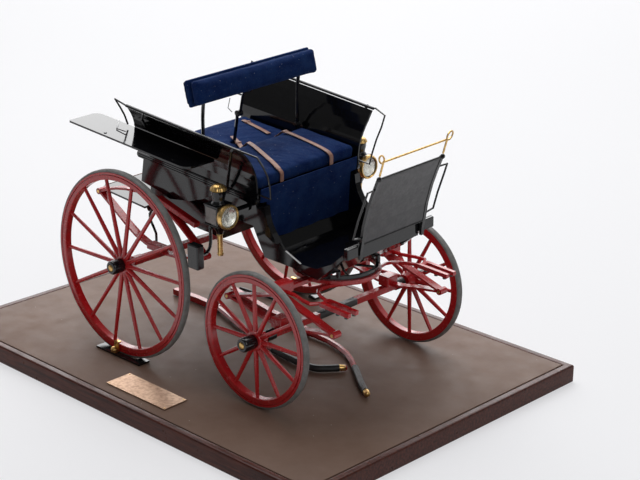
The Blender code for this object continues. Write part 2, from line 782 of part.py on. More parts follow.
def rear_gear():
    x, z = REAR_AXLE
    bed_end = REAR_TRACK + HUB_INNER - 1.6
    arm_end = REAR_TRACK + REAR_HUB_OUTER - GAP
    part("rear_axle", axle(REAR_AXLE, bed_end, arm_end), RED, CARRIAGE)
    sizes = (
        REAR_AXLE, REAR_RADIUS, REAR_TRACK, REAR_SPOKES, REAR_PHASE, REAR_HUB_OUTER, REAR_CAP_END,
        REAR_RIM_STEPS,
    )
    for name, side in SIDES:
        wheel("rear_" + name, side, sizes, CARRIAGE, (0, 0, 0))
        low, high = SPRING_Y - 4.2, SPRING_Y + 4.2
        saddle = box((x - 8, low, z + AXLE_HALF + GAP), (x + 8, high, z + AXLE_HALF + 5.2), 0.6)
        bearer = box((-BEARER_HALF, low + 1.4, -2.1), (BEARER_HALF, high - 1.4, 2.1), 0.5)
        bearer = moved(bearer, shift(BEARER_PLACE[0], 0, BEARER_PLACE[1]) @ turn(BEARER_TILT, "Y"))
        item = spring(REAR_UPPER_LEAF, REAR_LOWER_LEAF, (saddle, bearer))
        part("rear_spring_" + name, for_side(item, side), RED, CARRIAGE)


def turning_transom():
    """Transom, lower ring, king pin, the bow under the ring and the two shaft forks."""
    x = FRONT_AXLE[0]
    pieces = [box((x - 3, -66, TRANSOM_Z[0]), (x + 3, 66, TRANSOM_Z[1]), 0.5)]
    pieces.append(moved(turned(LOWER_RING, RING_STEPS), shift(x, 0, 0)))
    pieces.append(rod((x, 0, TRANSOM_Z[0] + 0.5), (x, 0, KING_TOP), KING_RADIUS, sides=12))
    half_bow = [(px, py, FORK_Z) for px, py in BOW]
    other_half = [(px, -py, pz) for px, py, pz in reversed(half_bow[:-1])]
    pieces.append(tube(half_bow + other_half, BOW_RADIUS))
    for _, side in SIDES:
        low_y, high_y = sorted((side * 50.0, side * 67.0))
        pieces.append(box((x - 4.6, low_y, 79.3), (x + 4.6, high_y, 88.0), 0.8))
        pieces.append(tube([(px, side * py, FORK_Z) for px, py in OUTER_ARM], BOW_RADIUS))
        for y in FORK_Y:
            tip = (FORK_X[1], side * y, FORK_Z - 1)
            pieces.append(square_bar((FORK_X[0], side * y, FORK_Z), tip, 1.5))
        low_y, high_y = sorted((side * (FORK_Y[0] - 1.3), side * (FORK_Y[1] + 1.3)))
        low = (FORK_X[0] - 0.6, low_y, FORK_Z - 1.3)
        pieces.append(box(low, (FORK_X[0] + 2.4, high_y, FORK_Z + 1.3)))
    return fuse(*pieces)


def floor_height(x, y):
    """The underside of the leaning tub over a point of the level carriage."""
    for (near_x, near_z), (far_x, far_z) in zip(TUB_BOTTOM, TUB_BOTTOM[1:]):
        if near_x <= x <= far_x:
            height = near_z + (far_z - near_z) * (x - near_x) / (far_x - near_x)
    return height + math.sin(BODY_LEAN) * y


def upper_ring():
    """The fixed ring with its spokes, its hub round the king pin and posts up to the tub."""
    x = FRONT_AXLE[0]
    middle = (UPPER_RING[0][1] + UPPER_RING[1][1]) / 2
    pieces = [moved(turned(UPPER_RING, RING_STEPS), shift(x, 0, 0))]
    bore = KING_RADIUS + GAP
    low, high = middle - 1.1, middle + 1.4
    hub = turned(((7.0, high), (7.0, low), (bore, low), (bore, high)), RING_HUB_STEPS)
    pieces.append(moved(hub, shift(x, 0, 0)))
    centre = Vector((x, 0, middle))
    reach = UPPER_RING[3][0] + 1.2
    for index in range(RING_SPOKES):
        angle = 2 * math.pi * (index + 0.5) / RING_SPOKES
        along = Vector((math.cos(angle), math.sin(angle), 0))
        pieces.append(rod(centre + along * 5.0, centre + along * reach, 1.0, sides=6))
    for quarter in range(4):
        angle = RING_POST_ANGLE + math.pi / 2 * quarter
        post_x, post_y = x + reach * math.cos(angle), reach * math.sin(angle)
        top = floor_height(post_x, post_y) - GAP - 0.3
        pieces.append(rod((post_x, post_y, middle), (post_x, post_y, top), 1.8, sides=8))
    return fuse(*pieces)


def front_gear():
    x, z = FRONT_AXLE
    king = (x, 0.0, LOWER_RING[0][1])
    stand = (x + GEAR_SHIFT[0], GEAR_SHIFT[1], LOWER_RING[0][1])
    swing = empty("forecarriage", CARRIAGE, stand, (0, 0, GEAR_TURN))
    bed_end = FRONT_TRACK + HUB_INNER - 1.6
    arm_end = FRONT_TRACK + FRONT_HUB_OUTER - GAP
    part("front_axle", on_joint(axle(FRONT_AXLE, bed_end, arm_end), king), RED, swing)
    sizes = (
        FRONT_AXLE, FRONT_RADIUS, FRONT_TRACK, FRONT_SPOKES, FRONT_PHASE, FRONT_HUB_OUTER,
        FRONT_CAP_END, FRONT_RIM_STEPS,
    )
    for name, side in SIDES:
        saddle = box((x - 5, 52.6, z + AXLE_HALF + GAP), (x + 5, 64.0, 61.5), 0.6)
        item = spring(FRONT_UPPER_LEAF, FRONT_LOWER_LEAF, (saddle,))
        part("front_spring_" + name, on_joint(for_side(item, side), king), RED, swing)
        wheel("front_" + name, side, sizes, swing, king)
    part("transom", on_joint(turning_transom(), king), RED, swing)
    part("upper_ring", moved(upper_ring(), shift(*GEAR_SHIFT, 0)), IRON, CARRIAGE)


def flared_side(name, side):
    """The upper side: a flared section carried along u and kept inside its outline."""
    wall = sheet([(w, y) for y, w in FLARE], -40, 120, SIDE_THICK)
    wall = moved(wall, Matrix(((0, 1, 0, 0), (0, 0, 1, 0), (1, 0, 0, 0), (0, 0, 0, 1))))
    mask = upright([[*FLARE_FRONT, *FLARE_REAR]], 60, 60)
    part("side_panel_" + name, for_side(trim(wall, mask, "INTERSECT"), side), BLACK, SEAT)


def belly_side(name, side):
    """The lower side with its round belly, under a beaded moulding."""
    panel = upright([BELLY], PANEL_Y - SIDE_THICK / 2, SIDE_THICK)
    low, high = MOULDING_W
    band = rounded_rectangle((MOULDING_U[0], low), (MOULDING_U[1], high), 2.2)
    strip = upright([band], PANEL_Y - 0.2, 2.4)
    rear_end, front_end = MOULDING_U[0] + 1.6, MOULDING_U[1] - 1.2
    bead_y = PANEL_Y + 0.9
    beads = []
    for w in (low + 0.9, (low + high) / 2, high - 0.9):
        beads.append(rod((rear_end, bead_y, w), (front_end, bead_y, w), BEAD_RADIUS, sides=6))
    part("belly_panel_" + name, for_side(fuse(panel, strip, *beads), side), BLACK, SEAT)


def body_tub():
    """Side walls with bearings for the brake and the footboard, and the bent floor."""
    loop = [*TUB_BOTTOM, *TUB_TOP, in_body(97.0, SEAT_W[0] - GAP), in_body(-22.0, SEAT_W[0] - GAP)]
    inside = TUB_Y - WALL_THICK
    for name, side in SIDES:
        wall = upright([loop], TUB_Y - WALL_THICK / 2, WALL_THICK)
        low_y, high_y = PILLAR_Y
        pillar = upright([PILLAR], (low_y + high_y) / 2, high_y - low_y)
        brake_eye = disc(*BRAKE_SHAFT, inside, TUB_Y + 0.8, 3.8)
        hinge_eye = disc(*FOOTBOARD_HINGE, inside, TUB_Y, 2.6)
        wall = fuse(wall, pillar, brake_eye, hinge_eye)
        wall = trim(wall, disc(*BRAKE_SHAFT, inside - 2, TUB_Y + 3, BRAKE_SHAFT_RADIUS + GAP))
        wall = trim(wall, disc(*FOOTBOARD_HINGE, inside - 2, TUB_Y + 2, PIN_RADIUS + GAP))
        if side < 0:
            wall = fuse(wall, tube(HOOK_IRON, STAY_RADIUS, steps=2))
        body_part("tub_side_" + name, for_side(wall, side), BLACK)
    floor = sheet(TUB_BOTTOM, GAP - inside, inside - GAP, WALL_THICK, side=-1.0)
    body_part("tub_floor", floor, BLACK)


def toe_beam():
    """The board across the tub's nose, with a raised block at each end."""
    rear, front = TOE_X
    end = TOE_BLOCK_Y[1]
    pieces = [box((rear, -end, TOE_END_Z[0]), (front, end, TOE_END_Z[1]))]
    pieces.append(box((rear, GAP - IRON_Y[0], TOE_Z[0]), (front, IRON_Y[0] - GAP, TOE_Z[1])))
    for _, side in SIDES:
        low_y, high_y = sorted(side * y for y in TOE_BLOCK_Y)
        low = (rear + 0.4, low_y, TOE_END_Z[0] + 0.2)
        pieces.append(box(low, (front + 2.3, high_y, TOE_END_Z[1] - 0.2), 0.5))
    body_part("toe_beam", fuse(*pieces), BLACK)


def post_foot():
    """The lower end of a back-rest post, with a bored ear for the hinge pin."""
    hinge_x, hinge_z = BACK_HINGE
    near, far = POST_Y - 3.0, POST_Y - 2.0
    post = rod((hinge_x - 0.6, POST_Y, 143), (hinge_x, POST_Y, hinge_z - 2.6), POST_RADIUS)
    shelf = box((hinge_x - 1.2, near + 0.1, hinge_z - 4.0), (hinge_x + 1.2, POST_Y + 0.5, hinge_z - 2.4))
    ear = disc(hinge_x, hinge_z, near, far, 1.9)
    web = box((hinge_x - 1.0, near + 0.15, hinge_z - 3.2), (hinge_x + 1.0, far - 0.15, hinge_z - 1.2))
    return trim(fuse(post, shelf, ear, web), disc(hinge_x, hinge_z, near - 1, far + 1, HINGE_BORE))


def seat_board():
    """Seat board, riser, the back-rest's lower posts and the lower half of its stay."""
    reach = PANEL_Y - SIDE_THICK - GAP
    board = box((SEAT_U[0], -reach, SEAT_W[0]), (SEAT_U[1], reach, SEAT_W[1]))
    riser_low = (RISER_U[0], -RISER_Y, SEAT_W[1] - 0.4)
    riser = box(riser_low, (RISER_U[1], RISER_Y, FRONT_CUSHION_W[0] - GAP))
    board = upright_seat(fuse(board, riser))
    extras = [for_side(post_foot(), side) for _, side in SIDES]
    extras.append(tube(LOWER_STAY, 1.3))
    extras.append(disc(*STAY_KNUCKLE, -2.2, -GAP / 2, KNUCKLE_RADIUS))
    body_part("seat_board", fuse(board, *extras), BLACK)


def wing_board(name, side):
    loop = [(WING_U[0], WING_Y[1] - 0.8), (WING_U[0] + 0.8, WING_Y[1])]
    loop += corner(WING_U[1] - 8, WING_Y[1] - 8, 8, 90)
    loop += [(WING_U[1], WING_Y[0] + 1), (WING_U[1] - 1, WING_Y[0])]
    loop += corner(WING_U[0] + 6, WING_Y[0] + 6, 6, 270)
    middle = WING_W - WING_THICK / 2
    board = moved(outline([loop], WING_THICK), shift(0, 0, middle))
    bolts = [rod((u, y, middle), (u, y, WING_W + 0.5), 1.2, sides=8) for u, y in WING_BOLTS]
    part("wing_board_" + name, for_side(fuse(board, *bolts), side), BLACK, SEAT)


def crown(u, y, span):
    """How far a cushion's top stands over its edge."""
    across = 2 * (u - span[0]) / (span[1] - span[0]) - 1
    along = y / CUSHION_Y
    return CUSHION_CROWN * max(0.0, 1 - across ** 4) * max(0.0, 1 - along ** 4)


def dent(u, y, route):
    """How deep a strap along the route presses into a cushion."""
    nearest = min(distance_to((u, y), start, end) for start, end in zip(route, route[1:]))
    return DENT_DEEP * math.exp(-(nearest / DENT_WIDE) ** 2)


def distance_to(point, start, end):
    point, start, end = Vector(point), Vector(start), Vector(end)
    along = end - start
    share = max(0.0, min(1.0, (point - start).dot(along) / along.length_squared))
    return (point - start - along * share).length


def stuffed(low, high, edge, cuts, form):
    """A soft block: a box cut into a grid, its edges rounded and its points moved by form."""
    item = box(low, high)
    shape = bmesh.new()
    shape.from_mesh(item.data)
    for axis, count in enumerate(cuts):
        for step in range(1, count):
            place = Vector(low) * MM
            place[axis] = (low[axis] + (high[axis] - low[axis]) * step / count) * MM
            facing = Vector((0, 0, 0))
            facing[axis] = 1.0
            everything = [*shape.verts, *shape.edges, *shape.faces]
            bmesh.ops.bisect_plane(shape, geom=everything, plane_co=place, plane_no=facing)
    sharp = [line for line in shape.edges if line.calc_face_angle(0.0) > 1.0]
    bmesh.ops.bevel(shape, geom=sharp, offset=edge * MM, segments=2, profile=0.5, affect="EDGES")
    for point in shape.verts:
        point.co = Vector(form(*(point.co / MM))) * MM
    shape.to_mesh(item.data)
    shape.free()
    return solid(item)


def seat_cushion(u_span, w_span, routes):
    """A seat cushion with a crowned top, drawn-in sides and dents under its straps."""
    def form(u, y, w):
        height = (w - w_span[0]) / (w_span[1] - w_span[0])
        waist = SIDE_DRAW * (1 - (2 * height - 1) ** 2)
        lift = crown(u, y, u_span) - sum(dent(u, y, route) for route in routes)
        middle = (u_span[0] + u_span[1]) / 2
        return (
            u - waist * (u - middle) / (u_span[1] - middle),
            y - waist * y / CUSHION_Y,
            w + lift * max(0.0, 2 * height - 1),
        )
    low = (u_span[0], -CUSHION_Y, w_span[0])
    high = (u_span[1], CUSHION_Y, w_span[1])
    return stuffed(low, high, CUSHION_EDGE, (7, 9, 1), form)


def seat_top(u, y):
    """The height w that a strap lies at, over both cushions and the step between them."""
    rear = REAR_CUSHION_W[1] + crown(u, y, REAR_CUSHION_U)
    front = FRONT_CUSHION_W[1] + crown(u, y, FRONT_CUSHION_U)
    ramp = (u - (REAR_CUSHION_U[1] - 3.0)) / (FRONT_CUSHION_U[0] + 2.0 - (REAR_CUSHION_U[1] - 3.0))
    ramp = max(0.0, min(1.0, ramp))
    return rear + (front - rear) * ramp + STRAP_LIFT + STRAP_THICK / 2


def strap(route, over_front):
    """A leather strap along a route in u and y, hanging down in front where it is asked to."""
    centres = []
    for start, end in zip(route, route[1:]):
        start, end = Vector(start), Vector(end)
        count = max(1, round((end - start).length / 5.0))
        centres.extend(start.lerp(end, step / count) for step in range(count))
    centres.append(Vector(route[-1]))
    whole = (Vector(route[-1]) - Vector(route[0])).normalized()
    across = Vector((-whole.y, whole.x)) * STRAP_WIDE / 2
    rows = []
    for centre in centres:
        ends = (centre - across, centre, centre + across)
        rows.append([(u, y, seat_top(u, y)) for u, y in ends])
    if over_front:
        rows.extend(front_drop(centres[-1], across))
    return woven(rows, STRAP_THICK)


def front_drop(last, across):
    """The strap's end, bent over the front cushion's edge."""
    corner = CUSHION_EDGE + STRAP_LIFT + STRAP_THICK / 2
    bend_u = FRONT_CUSHION_U[1] - CUSHION_EDGE
    bend_w = FRONT_CUSHION_W[1] - CUSHION_EDGE
    rows = []
    for angle in (90, 60, 30, 0):
        u = bend_u + corner * math.cos(math.radians(angle))
        w = bend_w + corner * math.sin(math.radians(angle))
        rows.append([(u, (last + across * share).y, w) for share in (-1, 0, 1)])
    u = rows[-1][0][0]
    rows.append([(u, (last + across * share).y, STRAP_END_W) for share in (-1, 0, 1)])
    return rows


def valance():
    """The cloth that hangs from the seat's front, with shallow folds."""
    top, bottom = FALL_ROWS[0], FALL_ROWS[-1]
    rows = []
    for z in FALL_ROWS:
        half = FALL_HALF[1] if z > FALL_SHOULDER_Z else FALL_HALF[0]
        hang = (top - z) / (top - bottom)
        row = []
        for step in range(FALL_STEPS + 1):
            share = step / FALL_STEPS
            wave = FALL_WAVE * hang * math.sin(2 * math.pi * (FALL_FOLDS * share + 0.15 * hang))
            row.append((FALL_X - FALL_BACK * hang + wave, half * (2 * share - 1), z))
        rows.append(row)
    return woven(rows, FALL_THICK)


def upholstery():
    straps = (RIGHT_STRAP, LEFT_STRAP)
    front = seat_cushion(FRONT_CUSHION_U, FRONT_CUSHION_W, straps)
    part("front_cushion", front, NAVY, SEAT)
    rear = seat_cushion(REAR_CUSHION_U, REAR_CUSHION_W, (REAR_STRAP, RIGHT_STRAP[:2]))
    rear = upright_seat(rear)
    hole = rod((21.2, 0, 139.5), (24.6, 0, 156.0), STAY_HOLE, sides=12)
    body_part("rear_cushion", trim(rear, hole), NAVY)
    body_part("valance", valance(), NAVY)
    slit = rod(LOWER_STAY[1], (26.0, 0, 161.7), STAY_SLIT, sides=12)
    body_part("strap_right", trim(upright_seat(strap(RIGHT_STRAP, True)), slit), TAN)
    part("strap_left", strap(LEFT_STRAP, True), TAN, SEAT)
    part("strap_rear", strap(REAR_STRAP, False), TAN, SEAT)


def back_pad(thick):
    """A back-rest pad that stands out from x = 0, crowned and drawn in at its rim."""
    half_long, half_high = BOARD_HALF[1] + 0.3, BOARD_HALF[2] + 0.3

    def form(x, y, z):
        out = x / thick
        fullness = (1 - (y / half_long) ** 6) * (1 - (z / half_high) ** 2)
        draw = 0.5 * (1 - out)
        return (
            x + 0.16 * thick * out * fullness,
            y - draw * y / half_long,
            z - draw * z / half_high,
        )
    low = (0, -half_long, -half_high)
    high = (thick, half_long, half_high)
    return stuffed(low, high, min(2.8, 0.45 * thick), (1, 8, 3), form)


def back_rest():
    """Posts, board and the upper half of the stay, with a pad on each face of the board."""
    hinge_x, hinge_z = BACK_HINGE
    place = shift(BOARD_CENTRE[0], 0, BOARD_CENTRE[1]) @ turn(BOARD_TILT, "Y")
    half_thick = BOARD_HALF[0]
    board = box([-half for half in BOARD_HALF], BOARD_HALF, 0.6)
    pieces = [moved(board, place)]
    for _, side in SIDES:
        pieces.append(tube([(x, side * POST_Y, z) for x, z in UPPER_POST], POST_RADIUS))
        barrel_low, barrel_high = sorted((side * (POST_Y - 1.7), side * (POST_Y + 1.7)))
        pieces.append(disc(hinge_x, hinge_z, barrel_low, barrel_high, 1.9))
        pin_low, pin_high = sorted((side * (POST_Y - 3.3), side * POST_Y))
        pieces.append(disc(hinge_x, hinge_z, pin_low, pin_high, HINGE_PIN, sides=10))
    pieces.append(disc(*STAY_KNUCKLE, GAP / 2, 2.2, KNUCKLE_RADIUS))
    pieces.append(tube(UPPER_STAY, STAY_RADIUS))
    hinge = (hinge_x, 0, hinge_z)
    joint = body_joint("back_rest_hinge", BACK_HINGE)
    part("backrest_frame", on_joint(fuse(*pieces), hinge), BLACK, joint)
    front = moved(back_pad(PAD_FRONT_THICK), place @ shift(half_thick + GAP, 0, 0))
    part("backrest_pad_front", on_joint(front, hinge), NAVY, joint)
    rear = back_pad(PAD_REAR_THICK)
    rear = moved(rear, place @ shift(-half_thick - GAP, 0, 0.6) @ Matrix.Diagonal((-1.0, 1.0, 0.92, 1.0)))
    rear.data.flip_normals()
    part("backrest_pad_rear", on_joint(rear, hinge), NAVY, joint)


def dash():
    """The leather dash, its black side irons with their handles, and the brass rein rail."""
    body_part("dash", sheet(DASH_PATH, -DASH_HALF, DASH_HALF, DASH_THICK), DASH_LEATHER)
    top_x, top_z = DASH_TOP
    path = [*IRON_FOOT, *DASH_PATH, (top_x, top_z + 0.3)]
    irons = [disc(top_x, top_z, -33.0, 33.0, 0.9, sides=8)]
    rails = [disc(*RAIL_TOP, -RAIL_Y - 0.4, RAIL_Y + 0.4, RAIL_RADIUS, sides=8)]
    for _, side in SIDES:
        low_y, high_y = sorted(side * y for y in IRON_Y)
        irons.append(sheet(path, low_y, high_y, 2.2))
        irons.append(ball((top_x + 0.4, side * RAIL_Y, top_z + 0.3), 1.9, sides=8))
        irons.append(tube([(x, side * y, z) for x, y, z in DASH_HANDLE], WIRE_RADIUS + 0.1))
        foot = (RAIL_FOOT[0], side * RAIL_Y, RAIL_FOOT[1])
        rails.append(rod(foot, (RAIL_TOP[0], side * RAIL_Y, RAIL_TOP[1]), RAIL_RADIUS, sides=8))
        rails.append(rein_loop(side))
    body_part("dash_irons", fuse(*irons), IRON)
    body_part("rein_rail", fuse(*rails), BRASS)


def rein_loop(side):
    """The long round loop that the reins pass through, at one end of the rail."""
    long_way = Vector((0.1, side * 0.66, 0.75)).normalized()
    short_way = long_way.cross(Vector((1, 0, 0))).normalized()
    centre = Vector((RAIL_TOP[0] + 0.5, side * (RAIL_Y + 2.4), RAIL_TOP[1] + 2.5))
    half_long, half_short = LOOP_HALF
    points = []
    for step in range(LOOP_STEPS):
        angle = 2 * math.pi * step / LOOP_STEPS
        along = half_long * math.cos(angle) * long_way
        points.append(centre + along + half_short * math.sin(angle) * short_way)
    return tube(points, 0.65, closed=True)


def side_irons(name, side):
    """The bead along a flared side, its wire handle in front, loop behind and two stays outside."""
    bead_ends = []
    for u, w, y in RIM_BEAD:
        x, z = in_body(u, w)
        bead_ends.append((x, y, z))
    pieces = [rod(*bead_ends, 1.2, sides=8)]
    for route in (REAR_STAY, FRONT_STAY):
        pieces.append(tube(route, STAY_RADIUS))
    for route in (SIDE_HANDLE, SIDE_LOOP):
        pieces.append(tube(route, WIRE_RADIUS))
    body_part("side_irons_" + name, for_side(fuse(*pieces), side), IRON)


def lamp(name, side):
    """A square carriage lamp: box, chimney with its fluted cap, tail tube and bracket."""
    low = (LAMP_BOX_X[0], LAMP_Y - LAMP_BOX_HALF, LAMP_BOX_Z[0])
    high = (LAMP_BOX_X[1], LAMP_Y + LAMP_BOX_HALF, LAMP_BOX_Z[1])
    pieces = [box(low, high, 0.5)]
    for profile in (LAMP_CHIMNEY, LAMP_TAIL):
        pieces.append(moved(turned(profile, LAMP_STEPS, closed=False), shift(LAMP_X, LAMP_Y, 0)))
    foot = TUB_Y + GAP
    pieces.append(disc(LAMP_X - 0.5, LAMP_ARM_Z, foot + 1.0, LAMP_Y - 5, 1.6, sides=10))
    pieces.append(disc(LAMP_X - 0.5, LAMP_ARM_Z, foot, foot + 1.2, 3.6))
    body_part("lamp_" + name, for_side(fuse(*pieces), side), BLACK)
    bezel = turned(LENS_PROFILE, LENS_STEPS, closed=False)
    bezel = moved(bezel, shift(LAMP_BOX_X[1] + GAP, LAMP_Y, LENS_Z) @ turn(90, "Y"))
    body_part("lamp_bezel_" + name, for_side(bezel, side), BRASS)


def footboard():
    """The board behind the body, on a pin through the tub's two rear eyes."""
    hinge_x, hinge_z = FOOTBOARD_HINGE
    half, inner = FOOTBOARD_Y, TUB_Y - WALL_THICK - GAP - 0.2
    end = -FOOTBOARD_LONG
    loop = [
        (end, -half + 3), (end + 3, -half), (-3.2, -half), (-3.2, -inner), (0, -inner),
        (0, inner), (-3.2, inner), (-3.2, half), (end + 3, half), (end, half - 3),
    ]
    board = moved(outline([loop], FOOTBOARD_THICK), turn(FOOTBOARD_SLOPE, "Y"))
    rim = box((end + 1.5, -half + 4, -3.4), (end + 4.5, half - 4, -0.4))
    rim = moved(rim, turn(FOOTBOARD_SLOPE, "Y"))
    pin = disc(0, 0, -TUB_Y - 0.8, TUB_Y + 0.8, PIN_RADIUS, sides=12)
    joint = body_joint("footboard_hinge", (hinge_x, hinge_z))
    part("footboard", fuse(board, rim, pin), BLACK, joint)


def brake():
    """The cross shaft, with an arm and a block in front of the right rear tyre."""
    shaft_x, shaft_z = BRAKE_SHAFT
    shaft = disc(shaft_x, shaft_z, -BRAKE_SHAFT_END, TUB_Y + 1.6, BRAKE_SHAFT_RADIUS, sides=12)
    arm = tube([(x, -y, z) for x, y, z in BRAKE_ARM], 1.3, steps=2)
    low = (BRAKE_BLOCK_X[0], -BRAKE_BLOCK_Y[1], BRAKE_BLOCK_Z[0])
    high = (BRAKE_BLOCK_X[1], -BRAKE_BLOCK_Y[0], BRAKE_BLOCK_Z[1])
    joint = body_joint("brake_hinge", BRAKE_SHAFT)
    part("brake", on_joint(fuse(shaft, arm, box(low, high, 0.8)), (shaft_x, 0, shaft_z)), IRON, joint)


def main():
    display_base()
    loose_shafts()
    rear_gear()
    front_gear()
    body_tub()
    toe_beam()
    seat_board()
    upholstery()
    back_rest()
    dash()
    footboard()
    brake()
    for name, side in SIDES:
        rim_clamp(name, side)
        flared_side(name, side)
        belly_side(name, side)
        wing_board(name, side)
        side_irons(name, side)
        lamp(name, side)


main()
CUTTERS.hide_render = True
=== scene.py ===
"""The model phaeton carriage as it was photographed: finishes, soft pieces, fine wheels, fittings.

Sizes are millimetres in the carriage's own axes: x forward, y to its left, z up, with x = 0 at
the rear axle and z = 0 where the tyres stand. CARRIAGE, BODY, SEAT and GEAR carry such points
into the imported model's frame: the level carriage, its leaning body, the pitched seat and the
turned front gear. Pieces for both sides are drawn on the left and mirrored.
"""
import math

import bmesh
import bpy
from mathutils import Matrix, Vector, noise


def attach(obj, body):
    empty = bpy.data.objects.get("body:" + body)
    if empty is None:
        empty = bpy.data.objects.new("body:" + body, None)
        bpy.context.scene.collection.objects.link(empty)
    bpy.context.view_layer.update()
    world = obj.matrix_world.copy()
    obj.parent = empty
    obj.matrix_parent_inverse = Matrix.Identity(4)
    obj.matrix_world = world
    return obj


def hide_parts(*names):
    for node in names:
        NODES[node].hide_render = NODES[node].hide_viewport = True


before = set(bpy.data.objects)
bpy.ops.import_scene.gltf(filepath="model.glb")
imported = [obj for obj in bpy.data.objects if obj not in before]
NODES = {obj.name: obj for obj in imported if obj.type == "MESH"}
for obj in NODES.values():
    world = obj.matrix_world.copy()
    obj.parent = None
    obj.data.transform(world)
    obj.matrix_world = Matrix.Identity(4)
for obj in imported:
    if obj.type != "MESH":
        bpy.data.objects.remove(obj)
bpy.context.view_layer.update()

MM = 0.001
WELD = 0.002
SHARP = math.radians(35)
FULL_SIZE = 8.0

SIDES = (("right", -1), ("left", 1))


def shift(x, y, z):
    return Matrix.Translation((x, y, z))


def turn(degrees, axis):
    return Matrix.Rotation(math.radians(degrees), 4, axis)


CARRIAGE = Matrix.Scale(MM, 4) @ shift(-52.75, 6.73, 14.2)
BODY = CARRIAGE @ shift(0, 0, 140) @ turn(2, "X") @ shift(0, 0, -140)
SEAT = BODY @ shift(0, 0, 100) @ turn(3.5, "Y")
GEAR = CARRIAGE @ shift(133.55, -0.75, 84.8) @ turn(0.78, "Z") @ shift(-134.7, 0, -84.8)


# ---------------------------------------------------------------- finishes

class Finish:
    """A material under construction: its shader and the nodes that feed it."""

    def __init__(self, name, colour, roughness, metallic=0.0):
        self.material = bpy.data.materials.new(name)
        self.material.use_nodes = True
        self.tree = self.material.node_tree
        self.shader = self.tree.nodes["Principled BSDF"]
        self.set("Base Color", (*colour, 1.0))
        self.set("Roughness", roughness)
        self.set("Metallic", metallic)

    def set(self, socket, value):
        self.shader.inputs[socket].default_value = value

    def add(self, kind, **values):
        node = self.tree.nodes.new(kind)
        for socket, value in values.items():
            node.inputs[socket.replace("_", " ")].default_value = value
        return node

    def link(self, source, target):
        self.tree.links.new(source, target)

    def place(self, stretch=(1.0, 1.0, 1.0)):
        """The object's own coordinates, in millimetres."""
        where = self.add("ShaderNodeTexCoord")
        sizes = self.add("ShaderNodeMapping")
        sizes.inputs["Scale"].default_value = [value / MM for value in stretch]
        self.link(where.outputs["Object"], sizes.inputs["Vector"])
        return sizes.outputs["Vector"]

    def cloud(self, scale, detail=3.0, stretch=(1.0, 1.0, 1.0)):
        node = self.add("ShaderNodeTexNoise", Scale=scale, Detail=detail, Roughness=0.6)
        self.link(self.place(stretch), node.inputs["Vector"])
        return node.outputs["Fac"]

    def band(self, value, low, high, start=0.0, end=1.0):
        """A value between low and high, carried to run from start to end."""
        node = self.add("ShaderNodeMapRange", From_Min=low, From_Max=high, To_Min=start, To_Max=end)
        self.link(value, node.inputs["Value"])
        return node.outputs["Result"]

    def blend(self, share, under, over):
        """Two colours mixed; each is a colour or another node's output."""
        node = self.add("ShaderNodeMix")
        node.data_type = "RGBA"
        self.link(share, node.inputs["Factor"])
        for socket, colour in (("A", under), ("B", over)):
            target = next(s for s in node.inputs if s.name == socket and s.type == "RGBA")
            if isinstance(colour, tuple):
                target.default_value = (*colour, 1.0)
            else:
                self.link(colour, target)
        return next(s for s in node.outputs if s.type == "RGBA")

    def colour(self, output):
        self.link(output, self.shader.inputs["Base Color"])

    def rough(self, output):
        self.link(output, self.shader.inputs["Roughness"])

    def bump(self, height, strength, distance):
        node = self.add("ShaderNodeBump", Strength=strength, Distance=distance * MM)
        self.link(height, node.inputs["Height"])
        self.link(node.outputs["Normal"], self.shader.inputs["Normal"])


def specks(finish, scale, size):
    """Small scattered dots: 1 on a dot and 0 off it."""
    node = finish.add("ShaderNodeTexVoronoi", Scale=scale)
    finish.link(finish.place(), node.inputs["Vector"])
    dots = finish.band(node.outputs["Distance"], size, size * 0.6)
    rare = finish.band(finish.cloud(scale * 0.6, 1.0), 0.55, 0.6)
    both = finish.add("ShaderNodeMath")
    both.operation = "MULTIPLY"
    finish.link(dots, both.inputs[0])
    finish.link(rare, both.inputs[1])
    return both.outputs[0]


def painted(name, colour, roughness, dust, chip, coat=0.3, uneven=0.1):
    """Gloss paint with faint dust, soft unevenness and small chips."""
    finish = Finish(name, colour, roughness)
    finish.set("Coat Weight", coat)
    finish.set("Coat Roughness", 0.12)
    worn = finish.blend(finish.band(finish.cloud(0.12), 0.5, 0.85), colour, dust)
    finish.colour(finish.blend(specks(finish, 0.9, 0.1), worn, chip))
    finish.rough(finish.band(finish.cloud(0.3), 0.3, 0.75, roughness, roughness + uneven))
    finish.bump(finish.cloud(1.1), 0.1, 0.08)
    return finish.material


def woven_cloth(name, colour, lifted):
    """Woollen cloth with a plain weave, a soft nap and stray lint."""
    finish = Finish(name, colour, 0.92)
    finish.set("Sheen Weight", 0.14)
    finish.set("Sheen Roughness", 0.45)
    finish.set("Sheen Tint", (0.25, 0.38, 0.75, 1.0))
    finish.set("Specular IOR Level", 0.08)
    patches = finish.blend(finish.band(finish.cloud(0.09, 5.0), 0.35, 0.75), colour, lifted)
    fuzz = finish.band(finish.cloud(1.1, 4.0), 0.56, 0.74)
    nap = finish.blend(fuzz, patches, tuple(0.6 * value + 0.03 for value in lifted))
    finish.colour(finish.blend(specks(finish, 0.42, 0.13), nap, (0.3, 0.32, 0.38)))
    threads = []
    for direction in ("X", "Y"):
        wave = finish.add("ShaderNodeTexWave", Scale=0.75, Distortion=1.2, Detail=2.0)
        wave.bands_direction = direction
        finish.link(finish.place(), wave.inputs["Vector"])
        threads.append(wave.outputs["Fac"])
    weave = finish.add("ShaderNodeMath")
    weave.operation = "MAXIMUM"
    for socket, thread in zip(weave.inputs, threads):
        finish.link(thread, socket)
    finish.bump(weave.outputs[0], 0.35, 0.12)
    return finish.material


